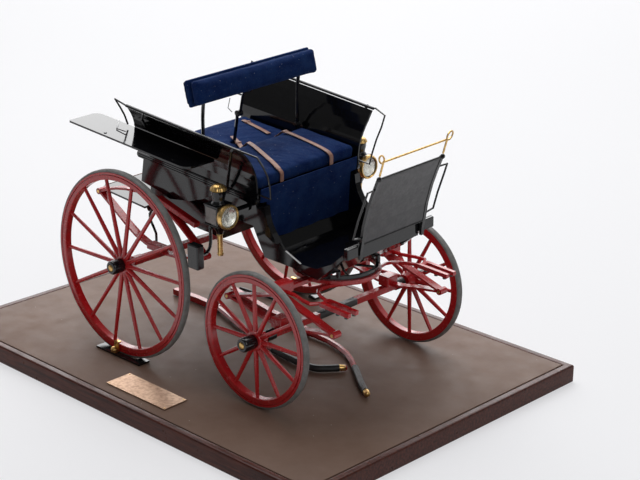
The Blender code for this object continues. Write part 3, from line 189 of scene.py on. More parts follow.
def grained_leather(name, colour, worn, roughness, pebble):
    """Leather with pebbled grain and rubbed places."""
    finish = Finish(name, colour, roughness)
    finish.colour(finish.blend(finish.band(finish.cloud(0.15, 4.0), 0.4, 0.75), colour, worn))
    finish.rough(finish.band(finish.cloud(0.5), 0.3, 0.7, roughness - 0.06, roughness + 0.12))
    grain = finish.add("ShaderNodeTexVoronoi", Scale=pebble)
    finish.link(finish.place(), grain.inputs["Vector"])
    finish.bump(grain.outputs["Distance"], 0.2, 0.08)
    return finish.material


def old_brass(name, colour, tarnish, roughness):
    finish = Finish(name, colour, roughness, 1.0)
    finish.colour(finish.blend(finish.band(finish.cloud(0.35, 5.0), 0.42, 0.75), colour, tarnish))
    finish.rough(finish.band(finish.cloud(0.8), 0.3, 0.7, roughness, roughness + 0.18))
    finish.bump(finish.cloud(2.5), 0.08, 0.05)
    return finish.material


def dusty_rubber(name, colour, dust):
    finish = Finish(name, colour, 0.7)
    finish.colour(finish.blend(finish.band(finish.cloud(0.2, 5.0), 0.35, 0.7), colour, dust))
    finish.bump(finish.cloud(1.6), 0.2, 0.1)
    return finish.material


def painted_board(name, colour, scuffed):
    """The base's taupe paint: scuffs and specks of dust."""
    finish = Finish(name, colour, 0.42)
    finish.set("Specular IOR Level", 0.08)
    mottled = finish.blend(finish.band(finish.cloud(0.025, 6.0), 0.35, 0.75), colour, scuffed)
    finish.colour(finish.blend(specks(finish, 0.12, 0.05), mottled, (0.5, 0.46, 0.42)))
    finish.rough(finish.band(finish.cloud(0.06, 4.0), 0.3, 0.7, 0.36, 0.52))
    finish.bump(finish.cloud(0.9, 4.0), 0.18, 0.12)
    return finish.material


def polished_wood(name, dark, light):
    """Mahogany with long grain and a worn gloss."""
    finish = Finish(name, dark, 0.3)
    finish.set("Specular IOR Level", 0.2)
    finish.set("Coat Weight", 0.03)
    finish.set("Coat Roughness", 0.2)
    along = finish.band(finish.cloud(0.5, 6.0, (0.08, 1.0, 1.0)), 0.35, 0.7)
    finish.colour(finish.blend(along, dark, light))
    finish.rough(finish.band(finish.cloud(0.1), 0.3, 0.7, 0.26, 0.44))
    finish.bump(finish.cloud(1.2, 4.0, (0.08, 1.0, 1.0)), 0.15, 0.1)
    return finish.material


def clear_glass(name):
    finish = Finish(name, (0.95, 0.97, 0.96), 0.04)
    finish.set("Transmission Weight", 0.92)
    finish.set("IOR", 1.45)
    finish.bump(finish.cloud(0.25), 0.1, 0.3)
    return finish.material


CRIMSON = painted("crimson_paint", (0.47, 0.01, 0.013), 0.2, (0.36, 0.02, 0.022), (0.5, 0.2, 0.17))
BLACK_GLOSS = painted(
    "black_paint", (0.003, 0.003, 0.004), 0.07, (0.006, 0.006, 0.007), (0.06, 0.06, 0.06), 0.1, 0.05
)
BLACK_IRON = painted(
    "black_iron", (0.005, 0.005, 0.006), 0.16, (0.011, 0.01, 0.01), (0.12, 0.09, 0.06), 0.1, 0.08
)
NAVY = woven_cloth("navy_cloth", (0.003, 0.014, 0.075), (0.011, 0.034, 0.12))
TAN = grained_leather("tan_leather", (0.25, 0.115, 0.08), (0.4, 0.22, 0.16), 0.5, 2.2)
DASH_LEATHER = grained_leather(
    "dash_leather", (0.035, 0.034, 0.037), (0.058, 0.056, 0.06), 0.38, 1.8
)
SLEEVE_LEATHER = grained_leather(
    "sleeve_leather", (0.014, 0.015, 0.016), (0.035, 0.036, 0.036), 0.38, 1.5
)
BRASS = old_brass("brass", (0.8, 0.53, 0.2), (0.42, 0.24, 0.08), 0.22)
PLATE_BRASS = old_brass("plate_brass", (0.52, 0.35, 0.235), (0.27, 0.155, 0.095), 0.32)
RUBBER = dusty_rubber("grey_rubber", (0.15, 0.147, 0.143), (0.24, 0.234, 0.228))
TAUPE = painted_board("taupe_panel", (0.17, 0.105, 0.077), (0.215, 0.142, 0.109))
MAHOGANY = polished_wood("mahogany", (0.036, 0.009, 0.006), (0.12, 0.032, 0.02))
SILVERED = old_brass("silvered_plate", (0.85, 0.83, 0.78), (0.6, 0.52, 0.4), 0.16)
GREY_PLATE = dusty_rubber("lead_plate", (0.3, 0.27, 0.26), (0.2, 0.18, 0.175))
GLASS = clear_glass("lamp_glass")

FINISH_OF = {
    "red_wood": CRIMSON, "red_metal": CRIMSON, "black_wood": BLACK_GLOSS, "black_metal": BLACK_IRON,
    "navy_cloth": NAVY, "tan_leather": TAN, "dash_leather": DASH_LEATHER, "brass": BRASS,
    "grey_rubber": RUBBER, "taupe_panel": TAUPE, "mahogany": MAHOGANY,
}


def finish_packed_nodes():
    for node in NODES.values():
        for holder in node.material_slots:
            holder.material = FINISH_OF[holder.material.name]
    NODES["plaque"].material_slots[0].material = PLATE_BRASS


# ---------------------------------------------------------------- shapes

def link(data):
    item = bpy.data.objects.new("piece", data)
    bpy.context.scene.collection.objects.link(item)
    return item


def from_bmesh(shape):
    mesh = bpy.data.meshes.new("piece")
    bmesh.ops.recalc_face_normals(shape, faces=shape.faces)
    shape.to_mesh(mesh)
    shape.free()
    return link(mesh)


def solid(item):
    """The object as a plain mesh, with its modifiers applied."""
    bpy.context.view_layer.update()
    ready = item.evaluated_get(bpy.context.evaluated_depsgraph_get())
    mesh = bpy.data.meshes.new_from_object(ready)
    shape = bmesh.new()
    shape.from_mesh(mesh)
    bmesh.ops.remove_doubles(shape, verts=shape.verts, dist=WELD)
    bpy.data.objects.remove(item)
    return from_bmesh(shape)


def moved(item, matrix):
    item.data.transform(matrix)
    return item


def for_side(item, side):
    """Pieces are made on the left: side -1 mirrors them to the right."""
    if side < 0:
        moved(item, Matrix.Diagonal((1.0, -1.0, 1.0, 1.0)))
        item.data.flip_normals()
    return item


def joined(*items):
    """Several shapes as one mesh."""
    shape = bmesh.new()
    for item in items:
        shape.from_mesh(item.data)
        bpy.data.objects.remove(item)
    return from_bmesh(shape)


def box(low, high, rounding=0.0):
    low, high = Vector(low), Vector(high)
    shape = bmesh.new()
    size = Matrix.Diagonal((*(high - low), 1.0))
    bmesh.ops.create_cube(shape, size=1.0, matrix=Matrix.Translation((low + high) / 2) @ size)
    if rounding:
        bmesh.ops.bevel(
            shape, geom=shape.edges, offset=rounding, segments=2, profile=0.5, affect="EDGES",
            material=-1,
        )
    return from_bmesh(shape)


def rod(start, end, radius, end_radius=None, sides=20):
    """A straight round bar, tapered where it is given a second radius."""
    start, end = Vector(start), Vector(end)
    along = end - start
    aim = along.to_track_quat("Z", "Y").to_matrix().to_4x4()
    shape = bmesh.new()
    bmesh.ops.create_cone(
        shape,
        cap_ends=True,
        segments=sides,
        radius1=radius,
        radius2=radius if end_radius is None else end_radius,
        depth=along.length,
        matrix=Matrix.Translation((start + end) / 2) @ aim,
    )
    return from_bmesh(shape)


def ball(centre, radius, flat=1.0):
    shape = bmesh.new()
    place = Matrix.Translation(centre) @ Matrix.Diagonal((1.0, 1.0, flat, 1.0))
    bmesh.ops.create_uvsphere(shape, u_segments=20, v_segments=12, radius=radius, matrix=place)
    return from_bmesh(shape)


def turned(profile, steps=48, closed=True):
    """A shape spun about z from radii and heights."""
    shape = bmesh.new()
    knots = [shape.verts.new((radius, 0, height)) for radius, height in profile]
    edges = [shape.edges.new(pair) for pair in zip(knots, knots[1:])]
    if closed:
        edges.append(shape.edges.new((knots[-1], knots[0])))
    bmesh.ops.spin(
        shape, geom=knots + edges, cent=(0, 0, 0), axis=(0, 0, 1), angle=2 * math.pi, steps=steps,
        use_merge=True,
    )
    bmesh.ops.remove_doubles(shape, verts=shape.verts, dist=WELD)
    return from_bmesh(shape)


def smooth_route(points, steps):
    """Points read from a smooth curve through the given ones, steps to each stretch."""
    knots = [Vector(point) for point in points]
    knots = [2 * knots[0] - knots[1], *knots, 2 * knots[-1] - knots[-2]]
    route = []
    for index in range(1, len(knots) - 2):
        before, here, there, after = knots[index - 1:index + 3]
        for step in range(steps):
            t = step / steps
            route.append(
                0.5 * (2 * here + (there - before) * t
                       + (2 * before - 5 * here + 4 * there - after) * t ** 2
                       + (3 * here - before - 3 * there + after) * t ** 3)
            )
    route.append(knots[-2])
    return route


def tube(points, radius, steps=1, closed=False):
    """A round wire or bar through points."""
    if steps > 1:
        points = smooth_route(points, steps)
    curve = bpy.data.curves.new("tube", "CURVE")
    curve.dimensions = "3D"
    curve.bevel_depth = radius
    curve.bevel_resolution = 3
    curve.use_fill_caps = not closed
    spline = curve.splines.new("POLY")
    spline.points.add(len(points) - 1)
    for knot, place in zip(spline.points, points):
        knot.co = (*place, 1.0)
    spline.use_cyclic_u = closed
    return solid(link(curve))


def piece(name, item, matrix, body, slot, finish=None, replaces=()):
    """Name a finished shape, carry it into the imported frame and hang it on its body."""
    moved(item, matrix)
    item.name = name
    item.data.name = name
    item.data.materials.clear()
    item.data.materials.append(finish or FINISH_OF[slot])
    item.data.shade_smooth()
    item.data.set_sharp_from_angle(angle=SHARP)
    if replaces:
        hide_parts(*replaces)
    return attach(item, body)


# ---------------------------------------------------------------- display base

BASE_MIDDLE = (52.75, -6.725)
BASE_HALF = (199.75, 144.975)
BASE_FOOT = -14.2
BASE_TOP = -0.3
EDGE_WIDE = 6.0
EDGE_GROOVE = 0.5


def display_base():
    """The mitred mahogany edge, eased at its corners, and the painted panel inside it."""
    reach = 20.0
    profile = (
        (0.0, BASE_FOOT), (0.0, -1.9), (0.35, -1.0), (1.1, -0.42), (2.0, BASE_TOP), (4.5, BASE_TOP),
        (5.2, -0.5), (5.75, -1.1), (EDGE_WIDE, -2.0), (EDGE_WIDE, BASE_FOOT),
    )
    ring = [((reach - inwards) * math.sqrt(2), height) for inwards, height in profile]
    edge = moved(turned(ring, 4), turn(45, "Z"))
    for point in edge.data.vertices:
        point.co.x += math.copysign(BASE_HALF[0] - reach, point.co.x)
        point.co.y += math.copysign(BASE_HALF[1] - reach, point.co.y)
    middle = CARRIAGE @ shift(*BASE_MIDDLE, 0)
    piece("base_edge", edge, middle, "carriage", "mahogany", replaces=("base_moulding",))
    half_x, half_y = (half - EDGE_WIDE - EDGE_GROOVE for half in BASE_HALF)
    panel = box((-half_x, -half_y, BASE_FOOT), (half_x, half_y, BASE_TOP), 0.6)
    piece("base_board", panel, middle, "carriage", "taupe_panel", replaces=("base_panel",))


# ---------------------------------------------------------------- wheels

# Each pair: mid-plane y, radius, spokes, phase of the first spoke, hub and cap ends
REAR_WHEELS = (92.3, 73.0, 14, math.radians(2.25), 1.8, 12.9)
FRONT_WHEELS = (84.0, 50.65, 12, math.radians(2.4), 2.6, 14.7)
FRONT_AXLE_X = 134.7
TYRE_DEEP = 1.8
FELLOE_INNER = 7.7
SPOKE_NECK = 8.0
HUB_RADIUS = 7.6
CAP_RADIUS = 5.4


def spokes(count, phase, start, end):
    """Tapered round bars from hub to felloe."""
    bars = []
    for index in range(count):
        spin = Matrix.Rotation(phase + 2 * math.pi * index / count, 4, "Z")
        neck = rod((start, 0, 0), (start + SPOKE_NECK, 0, 0), 2.1, 1.75, sides=12)
        bar = rod((start + SPOKE_NECK - 0.4, 0, 0), (end, 0, 0), 1.75, 1.35, sides=12)
        bars.append(moved(joined(neck, bar), spin))
    return joined(*bars)


def wheel(end, name, side, matrix, sizes):
    """Tyre, felloe with its spokes and hub, and the black cap with its brass centre."""
    radius, count, phase, hub_outer, cap_end = sizes
    body = f"{end}_wheel_{name}"
    title = f"{end}_{name}"
    tyre = turned((
        (radius, 1.0), (radius, -1.0), (radius - 0.3, -2.1), (radius - 0.9, -2.6),
        (radius - TYRE_DEEP, -2.7), (radius - TYRE_DEEP, 2.7), (radius - 0.9, 2.6),
        (radius - 0.3, 2.1),
    ), 96)
    piece(f"tyre_band_{title}", tyre, matrix, body, "grey_rubber", replaces=(f"tyre_{title}",))
    outer = radius - TYRE_DEEP - 0.1
    inner = radius - FELLOE_INNER
    felloe = turned((
        (outer, 3.0), (outer - 1.4, 3.0), (outer - 1.6, 2.3), (outer - 2.1, 2.3),
        (outer - 2.3, 3.0), (inner + 0.5, 3.0), (inner, 2.5), (inner, -2.5), (inner + 0.5, -3.0),
        (outer, -3.0),
    ), 96)
    hub = turned((
        (2.4, hub_outer), (6.0, hub_outer), (7.1, hub_outer - 0.3), (HUB_RADIUS, hub_outer - 1.1),
        (HUB_RADIUS, -2.2), (6.9, -3.6), (5.7, -6.0), (5.4, -7.0), (2.4, -7.0),
    ))
    bars = spokes(count, -side * phase, HUB_RADIUS - 1.1, inner + 1.2)
    whole = joined(felloe, hub, bars)
    piece(f"rim_and_spokes_{title}", whole, matrix, body, "red_wood", replaces=(f"wheel_{title}",))
    low = hub_outer + 0.3
    cap = turned((
        (0, cap_end - 1.4), (2.7, cap_end - 1.4), (3.0, cap_end - 0.6), (4.3, cap_end - 0.6),
        (5.0, cap_end - 1.2), (CAP_RADIUS - 0.1, cap_end - 2.2), (CAP_RADIUS, low + 0.8),
        (CAP_RADIUS - 0.4, low), (0, low),
    ), closed=False)
    piece(f"axle_cap_{title}", cap, matrix, body, "black_metal", BLACK_GLOSS,
          (f"hub_cap_{title}",))
    nut = turned(((0, cap_end), (1.5, cap_end), (2.4, cap_end - 0.5), (2.6, cap_end - 1.3),
                  (0, cap_end - 1.3)), closed=False)
    piece(f"cap_nut_{title}", nut, matrix, body, "brass")


def all_wheels():
    for name, side in SIDES:
        outwards = turn(-90 * side, "X")
        track, *sizes = REAR_WHEELS
        wheel("rear", name, side, CARRIAGE @ shift(0, side * track, sizes[0]) @ outwards, sizes)
        track, *sizes = FRONT_WHEELS
        axle = GEAR @ shift(FRONT_AXLE_X, side * track, sizes[0])
        wheel("front", name, side, axle @ outwards, sizes)


# ---------------------------------------------------------------- soft pieces

SWELL_FRAMES = 20
# Scene piece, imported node, body, voxel, shrink, swelling's cap, crease height and direction, seed
PADS = (
    ("front_seat_cushion", "front_cushion", "carriage", 1.2, 0.45, 0.8, 0.3, (1, 0.35, 0), 3.0),
    ("rear_seat_cushion", "rear_cushion", "carriage", 1.2, 0.45, 0.8, 0.3, (0.5, 1, 0), 9.0),
    (
        "backrest_front_pad", "backrest_pad_front", "back_rest",
        1.1, 0.3, 0.7, 0.22, (0, 1, 0), 5.0,
    ),
    ("backrest_rear_pad", "backrest_pad_rear", "back_rest", 0.9, 0.2, 0.5, 0.15, (0, 1, 0), 7.0),
)


def swollen(item, cap):
    """Cloth under light pressure, simulated at full size, no point moving over the cap in mm."""
    start = [point.co.copy() for point in item.data.vertices]
    cloth = item.modifiers.new("stuffing", "CLOTH")
    cloth.settings.use_pressure = True
    cloth.settings.uniform_pressure_force = 4.0
    cloth.settings.effector_weights.gravity = 0.0
    cloth.settings.quality = 4
    cloth.settings.tension_stiffness = 12.0
    cloth.settings.compression_stiffness = 8.0
    cloth.settings.bending_stiffness = 0.6
    cloth.collision_settings.use_collision = False
    cloth.point_cache.frame_start = 1
    cloth.point_cache.frame_end = SWELL_FRAMES
    for number in range(1, SWELL_FRAMES + 1):
        bpy.context.scene.frame_set(number)
    ready = item.evaluated_get(bpy.context.evaluated_depsgraph_get())
    ends = [point.co.copy() for point in ready.data.vertices]
    item.modifiers.remove(cloth)
    bpy.context.scene.frame_set(1)
    for point, before, after in zip(item.data.vertices, start, ends):
        step = after - before
        if step.length > cap * FULL_SIZE * MM:
            step = step.normalized() * cap * FULL_SIZE * MM
        point.co = before + step
    return item


def creased(item, height, along, seed):
    """Shallow creases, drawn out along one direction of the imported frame."""
    long_way = Vector(along).normalized()
    for point in item.data.vertices:
        place = point.co / MM
        run = place.dot(long_way)
        across = place - long_way * run
        grid = across * 0.11 + long_way * run * 0.025 + Vector((seed, 0, 0))
        wave = noise.fractal(grid, 1.0, 2.0, 3)
        ridge = 1.0 - min(1.0, abs(wave) * 2.4)
        point.co += point.normal * height * MM * (ridge - 0.45)
    return item


def pad(name, node, body, voxel, shrink, cap, crease, along, seed):
    """A stuffed piece that keeps its packed form: remeshed, swollen, creased, subdivided once."""
    mesh = NODES[node].data.copy()
    item = link(mesh)
    shape = bmesh.new()
    shape.from_mesh(mesh)
    bmesh.ops.remove_doubles(shape, verts=shape.verts, dist=0.00001)
    bmesh.ops.recalc_face_normals(shape, faces=shape.faces)
    for point in shape.verts:
        point.co -= point.normal * shrink * MM
    shape.to_mesh(mesh)
    shape.free()
    moved(item, Matrix.Scale(FULL_SIZE, 4))
    remesh = item.modifiers.new("even_grid", "REMESH")
    remesh.mode = "VOXEL"
    remesh.voxel_size = voxel * FULL_SIZE * MM
    bpy.context.view_layer.update()
    ready = item.evaluated_get(bpy.context.evaluated_depsgraph_get())
    even = bpy.data.meshes.new_from_object(ready)
    bpy.data.objects.remove(item)
    item = link(even)
    moved(swollen(item, cap), Matrix.Scale(1 / FULL_SIZE, 4))
    shape = bmesh.new()
    shape.from_mesh(item.data)
    bmesh.ops.smooth_vert(
        shape, verts=shape.verts, factor=0.5, use_axis_x=True, use_axis_y=True, use_axis_z=True,
    )
    shape.to_mesh(item.data)
    shape.free()
    creased(item, crease, along, seed)
    piece(name, item, Matrix(), body, "navy_cloth", replaces=(node,))
    item.data.set_sharp_from_angle(angle=math.pi)
    finer = item.modifiers.new("finer", "SUBSURF")
    finer.levels = 1
    finer.render_levels = 1


def sheet_from(rows, thick):
    """A bent strip or cloth: a grid laid out flat, its points moved to the rows, then thickened."""
    shape = bmesh.new()
    tall, wide = len(rows), len(rows[0])
    bmesh.ops.create_grid(shape, x_segments=wide - 1, y_segments=tall - 1, size=0.5)
    for point in shape.verts:
        row = round((point.co.y + 0.5) * (tall - 1))
        column = round((point.co.x + 0.5) * (wide - 1))
        point.co = rows[row][column]
    item = from_bmesh(shape)
    skin = item.modifiers.new("thickness", "SOLIDIFY")
    skin.thickness = thick
    skin.offset = 0.0
    return solid(item)


CUSHION_Y = 51.4
FRONT_CUSHION_U = (42.4, 100.0)
FRONT_CUSHION_W = (53.5, 63.4)
REAR_CUSHION_U = (-22.0, 36.9)
REAR_CUSHION_W = (46.3, 55.2)
STRAP_HALF = 1.7
STRAP_THICK = 0.7
STRAP_LIFT = 0.7
STRAP_SHARES = (-1, -0.9, -0.45, 0, 0.45, 0.9, 1)
STRAP_EDGE_DROP = 0.12
STRAP_HANG = 4.9
CUSHION_EDGE = 2.6
CUSHION_CROWN = 1.6
STRAPS = (
    ("strap_right", ((14.0, 4.5), (33.5, -4.6), (44.0, -8.2), (97.4, -29.0)), True),
    ("strap_left", ((36.6, 29.2), (44.0, 28.6), (97.4, 22.6)), True),
    ("strap_rear", ((-8.0, 37.0), (27.0, 31.0)), False),
)


def crown(u, y, span):
    across = 2 * (u - span[0]) / (span[1] - span[0]) - 1
    return CUSHION_CROWN * max(0.0, 1 - across ** 4) * max(0.0, 1 - (y / CUSHION_Y) ** 4)


def seat_top(u, y):
    """The height w that a strap lies at, over both cushions and the step between them."""
    rear = REAR_CUSHION_W[1] + crown(u, y, REAR_CUSHION_U)
    front = FRONT_CUSHION_W[1] + crown(u, y, FRONT_CUSHION_U)
    ramp = (u - (REAR_CUSHION_U[1] - 3.0)) / (FRONT_CUSHION_U[0] + 5.0 - REAR_CUSHION_U[1])
    ramp = max(0.0, min(1.0, ramp))
    return rear + (front - rear) * ramp + STRAP_LIFT + STRAP_THICK / 2


def straps():
    """The three leather straps, each with a keeper near its rear end."""
    for node, route, over_front in STRAPS:
        centres = []
        for start, end in zip(route, route[1:]):
            start, end = Vector(start), Vector(end)
            count = max(2, round((end - start).length / 1.5))
            centres += [start.lerp(end, step / count) for step in range(count)]
        centres.append(Vector(route[-1]))
        whole = (Vector(route[-1]) - Vector(route[0])).normalized()
        across = Vector((-whole.y, whole.x)) * STRAP_HALF
        rows = []
        for centre in centres:
            row = []
            for share in STRAP_SHARES:
                u, y = centre + across * share
                row.append((u, y, seat_top(u, y) - (STRAP_EDGE_DROP if abs(share) == 1 else 0)))
            rows.append(row)
        if over_front:
            radius = CUSHION_EDGE + STRAP_LIFT + STRAP_THICK / 2
            bend_u = FRONT_CUSHION_U[1] - CUSHION_EDGE
            bend_w = FRONT_CUSHION_W[1] - CUSHION_EDGE
            places = []
            for angle in range(75, -1, -15):
                bend = math.radians(angle)
                places.append((bend_u + radius * math.cos(bend), bend_w + radius * math.sin(bend)))
            places += [(places[-1][0], bend_w - drop) for drop in (1.5, 3.0, STRAP_HANG)]
            for u, w in places:
                rows.append([(u, (centres[-1] + across * share).y, w) for share in STRAP_SHARES])
        piece(node + "_leather", sheet_from(rows, STRAP_THICK), SEAT, "carriage", "tan_leather",
              replaces=(node,))
        first = centres[len(centres) // 7 + 1]
        lie = math.degrees(math.atan2(whole.y, whole.x))
        height = seat_top(first.x, first.y)
        keeper = box((-1.3, -2.3, -0.7), (1.3, 2.3, 0.9), 0.3)
        piece(node + "_keeper", keeper, SEAT @ shift(first.x, first.y, height) @ turn(lie, "Z"),
              "carriage", "tan_leather")


def hanging_cloth():
    """The cloth that hangs from the seat's front, with soft folds."""
    top, bottom, shoulder = 149.0, 107.0, 138.4
    wide_half, narrow_half = 50.2, 44.0
    tall, wide = 56, 110
    rows = []
    for row in range(tall):
        z = bottom + (top - bottom) * row / (tall - 1)
        hang = (top - z) / (top - bottom)
        half = wide_half if z > shoulder else narrow_half
        points = []
        for column in range(wide):
            share = column / (wide - 1)
            wave = 0.7 * hang * math.sin(2 * math.pi * (4 * share + 0.15 * hang))
            ripple = 0.35 * noise.noise(Vector((share * 9, hang * 3, 4.0)))
            points.append((104.6 - 4.0 * hang + wave + ripple * hang, half * (2 * share - 1), z))
        rows.append(points)
    cloth = piece("seat_front_cloth", sheet_from(rows, 0.8), BODY, "carriage", "navy_cloth",
                  replaces=("valance",))


def upholstery():
    for row in PADS:
        pad(*row)
    straps()
    hanging_cloth()


# ---------------------------------------------------------------- lamps

LAMP_X = 85.5
LAMP_Y = 73.8
CAP_FLUTES = 16


def fluted(profile, flutes, deep):
    """A turned shape whose sides are scalloped round its axis."""
    item = turned(profile, 96, closed=False)
    for point in item.data.vertices:
        reach = math.hypot(point.co.x, point.co.y)
        if reach > 0.6:
            angle = math.atan2(point.co.y, point.co.x)
            share = 1 - deep * (0.5 + 0.5 * math.cos(flutes * angle)) * min(1.0, reach / 4)
            point.co.x *= share
            point.co.y *= share
    return item


def lamps():
    """Case, cap, tail tube, side plates, ring, reflector and glass of both lamps."""
    for name, side in SIDES:
        stand = shift(LAMP_X, LAMP_Y, 0)
        case = box((77.8, 66.6, 125.0), (91.5, 81.0, 140.5), 0.5)
        rims = [box((77.4, 66.2, z), (91.8, 81.4, z + 1.0), 0.3) for z in (124.8, 139.7)]
        throat = moved(turned((
            (0, 150.4), (5.6, 150.4), (5.4, 150.0), (5.3, 147.6), (4.6, 145.0), (4.3, 143.0),
            (4.6, 142.2), (5.3, 141.6), (5.6, 141.0), (5.6, 140.2), (0, 140.2),
        ), closed=False), stand)
        below = moved(turned(((0, 125.2), (5.4, 125.2), (5.3, 124.2), (4.0, 121.4), (2.6, 118.8),
                              (2.3, 117.4), (0, 117.4)), closed=False), stand)
        arm = rod((85.0, 47.3, 131.0), (85.0, 68.8, 131.0), 1.6)
        flange = rod((85.0, 46.3, 131.0), (85.0, 47.5, 131.0), 3.6)
        whole = joined(case, *rims, throat, below, arm, flange)
        piece("lamp_case_" + name, for_side(whole, side), BODY, "carriage", "black_metal",
              BLACK_GLOSS, ("lamp_" + name,))
        cap = fluted((
            (0, 155.3), (1.4, 155.2), (3.2, 154.6), (4.8, 153.5), (5.8, 152.1), (6.2, 150.9),
            (5.8, 150.5), (0, 150.5),
        ), CAP_FLUTES, 0.07)
        piece("lamp_cap_" + name, for_side(moved(cap, stand), side), BODY, "carriage", "brass")
        tail = turned(((0, 117.6), (2.0, 117.6), (2.3, 116.6), (2.0, 115.8), (2.0, 102.6),
                       (2.4, 102.2), (2.2, 101.0), (1.4, 100.6), (0, 100.6)), closed=False)
        piece("lamp_tail_" + name, for_side(moved(tail, stand), side), BODY, "carriage", "brass")
        face = box((79.4, 80.9, 127.0), (90.0, 81.35, 138.6), 0.15)
        back = box((77.35, 68.4, 127.0), (77.9, 79.2, 138.6), 0.15)
        piece("lamp_side_plates_" + name, for_side(joined(face, back), side), BODY, "carriage",
              "black_metal", GREY_PLATE)
        forward = shift(91.8, LAMP_Y, 132.5) @ turn(90, "Y")
        ring = turned((
            (7.6, 4.2), (8.0, 4.9), (8.7, 4.9), (9.35, 4.0), (9.35, 2.2), (8.4, 0.9), (8.3, 0.0),
            (0, 0.0), (0, 0.4), (7.4, 0.6),
        ), 64, closed=False)
        piece("lamp_ring_" + name, for_side(moved(ring, forward), side), BODY, "carriage", "brass",
              replaces=("lamp_bezel_" + name,))
        dish = turned(((0, 0.7), (2.5, 0.9), (5.0, 1.7), (7.3, 3.4), (7.4, 3.2), (5.1, 1.4),
                       (2.5, 0.6), (0, 0.5)), 48, closed=False)
        piece("lamp_reflector_" + name, for_side(moved(dish, forward), side), BODY, "carriage",
              "brass", SILVERED)
        glass = turned(((0, 5.0), (3.2, 4.75), (6.2, 4.2), (7.7, 3.8), (7.7, 3.5), (6.2, 3.7),
                        (3.2, 4.2), (0, 4.4)), 48, closed=False)
        piece("lamp_glass_" + name, for_side(moved(glass, forward), side), BODY, "carriage",
              "brass", GLASS)


# ---------------------------------------------------------------- fittings

def loose_shaft_leather():
    """Black leather sleeves and brass tips on the fronts of the loose shafts."""
    sleeves = (
        ("long", ((145.5, 8.6), (152.0, 3.6), (168.0, -9.0), (178.0, -15.6))),
        ("short", (
            (79.0, -11.0), (94.0, -13.0), (110.0, -14.0), (123.5, -13.0), (131.0, -6.6),
            (135.8, -0.6),
        )),
    )
    for name, route in sleeves:
        line = [(x, y, 3.0) for x, y in route]
        ends = [tube(line, 2.75, steps=5)]
        for place in (line[0], line[-1]):
            ends.append(ball(place, 2.95, 0.95))
        piece("shaft_sleeve_" + name, joined(*ends), CARRIAGE, "carriage", "black_metal",
              SLEEVE_LEATHER)
        last, before = Vector(line[-1]), Vector(line[-2])
        way = (last - before).normalized()
        tip = joined(rod(last, last + way * 4.6, 2.6, 2.3), ball(last + way * 4.6, 2.3))
        piece("shaft_tip_" + name, tip, CARRIAGE, "carriage", "brass")


def axle_wraps():
    """Black leather round the front axle's middle, and black collars on its arms."""
    x, z = FRONT_AXLE_X, FRONT_WHEELS[1]
    wrap = box((x - 2.6, -20.0, z - 2.6), (x + 2.6, 21.0, z + 2.6), 0.6)
    piece("front_axle_wrap", wrap, GEAR, "forecarriage", "black_metal", SLEEVE_LEATHER)
    for name, side in SIDES:
        collar = rod((x, 66.5, z), (x, 74.6, z), 4.2, sides=28)
        piece("front_axle_collar_" + name, for_side(collar, side), GEAR, "forecarriage",
              "black_metal")


def spring_rivets():
    """Brass pins through the eyes of the four springs."""
    ends = (
        ("rear", CARRIAGE, "carriage", ((-65.0, 108.0), (54.0, 85.0))),
        ("front", GEAR, "forecarriage", ((82.4, 63.0), (187.0, 63.0))),
    )
    for end, matrix, body, eyes in ends:
        for name, side in SIDES:
            pins = []
            for x, z in eyes:
                pins.append(rod((x, 54.4, z), (x, 62.2, z), 1.2))
            piece(f"spring_pins_{end}_{name}", for_side(joined(*pins), side), matrix, body, "brass")


def fork_nuts():
    """Black nuts under the shaft forks, which slope down 1 mm to their tips."""
    for name, side in SIDES:
        nuts = []
        for y in (49.6, 57.4):
            for x, low in ((178.0, 79.5), (188.0, 79.1), (196.0, 78.8)):
                nuts.append(rod((x, y, low - 1.4), (x, y, low + 0.3), 1.5, sides=6))
        piece("fork_bolts_" + name, for_side(joined(*nuts), side), GEAR, "forecarriage",
              "black_metal")


def small_wires():
    """Thin wires, the small lever and the rod on the base."""
    wires = (
        ("wing_wire", ((-43.8, -55.0, 170.4), (-28.7, -70.5, 171.0), (-18.3, -70.7, 171.0)), 0.45),
        ("stay_latch_wire", ((33.4, -10.0, 182.9), (32.4, -13.0, 186.5), (34.9, -13.0, 194.7)),
         0.3),
        ("hook_clip", ((-16.0, -48.0, 75.0), (-22.0, -50.0, 76.0), (-25.0, -45.0, 73.0),
                       (-23.0, -40.0, 70.0), (-17.0, -40.0, 70.5)), 0.3),
    )
    for name, route, radius in wires:
        body = "back_rest" if name == "stay_latch_wire" else "carriage"
        piece(name, tube(route, radius), BODY, body, "black_metal")
    lever = joined(rod((179.0, 30.0, 110.5), (174.0, 23.0, 105.6), 0.7, sides=12),
                   ball((174.0, 23.0, 105.6), 1.5))
    piece("dash_lever", lever, BODY, "carriage", "black_metal")
    piece("base_rod", rod((-35.0, 62.0, 1.3), (2.5, 65.0, 1.3), 1.2), CARRIAGE, "carriage",
          "black_metal")


def edge_strip():
    """The tan strip along the tail board's rear edge."""
    hinge = BODY @ shift(-25.2, 0, 101.4) @ turn(3.9, "Y")
    strip = box((-57.0, -43.0, -1.1), (-56.2, 43.0, 1.1), 0.3)
    piece("tail_board_strip", strip, hinge, "tail_board", "tan_leather")


def board_cover():
    """The cloth that wraps the back-rest's board, between its two pads."""
    place = BODY @ shift(43.9, 0, 210.2) @ turn(-11.5, "Y")
    cover = box((-1.45, -62.5, -9.9), (1.45, 62.5, 9.9), 0.9)
    piece("backrest_board_cover", cover, place, "back_rest", "navy_cloth")


def dash_foot_shade_strip():
    """A dark strip along the dash's foot: painted shade standing in for the shadow in the gap
    between the dash and the toe beam.
    """
    # painted shade: this dark rod marks only the shadow where the dash meets the toe beam
    shade_strip = rod((186.4, -30.8, 123.8), (186.4, 30.8, 123.8), 0.45, sides=12)
    piece("dash_foot_shade_strip", shade_strip, BODY, "carriage", "black_metal", SLEEVE_LEATHER)


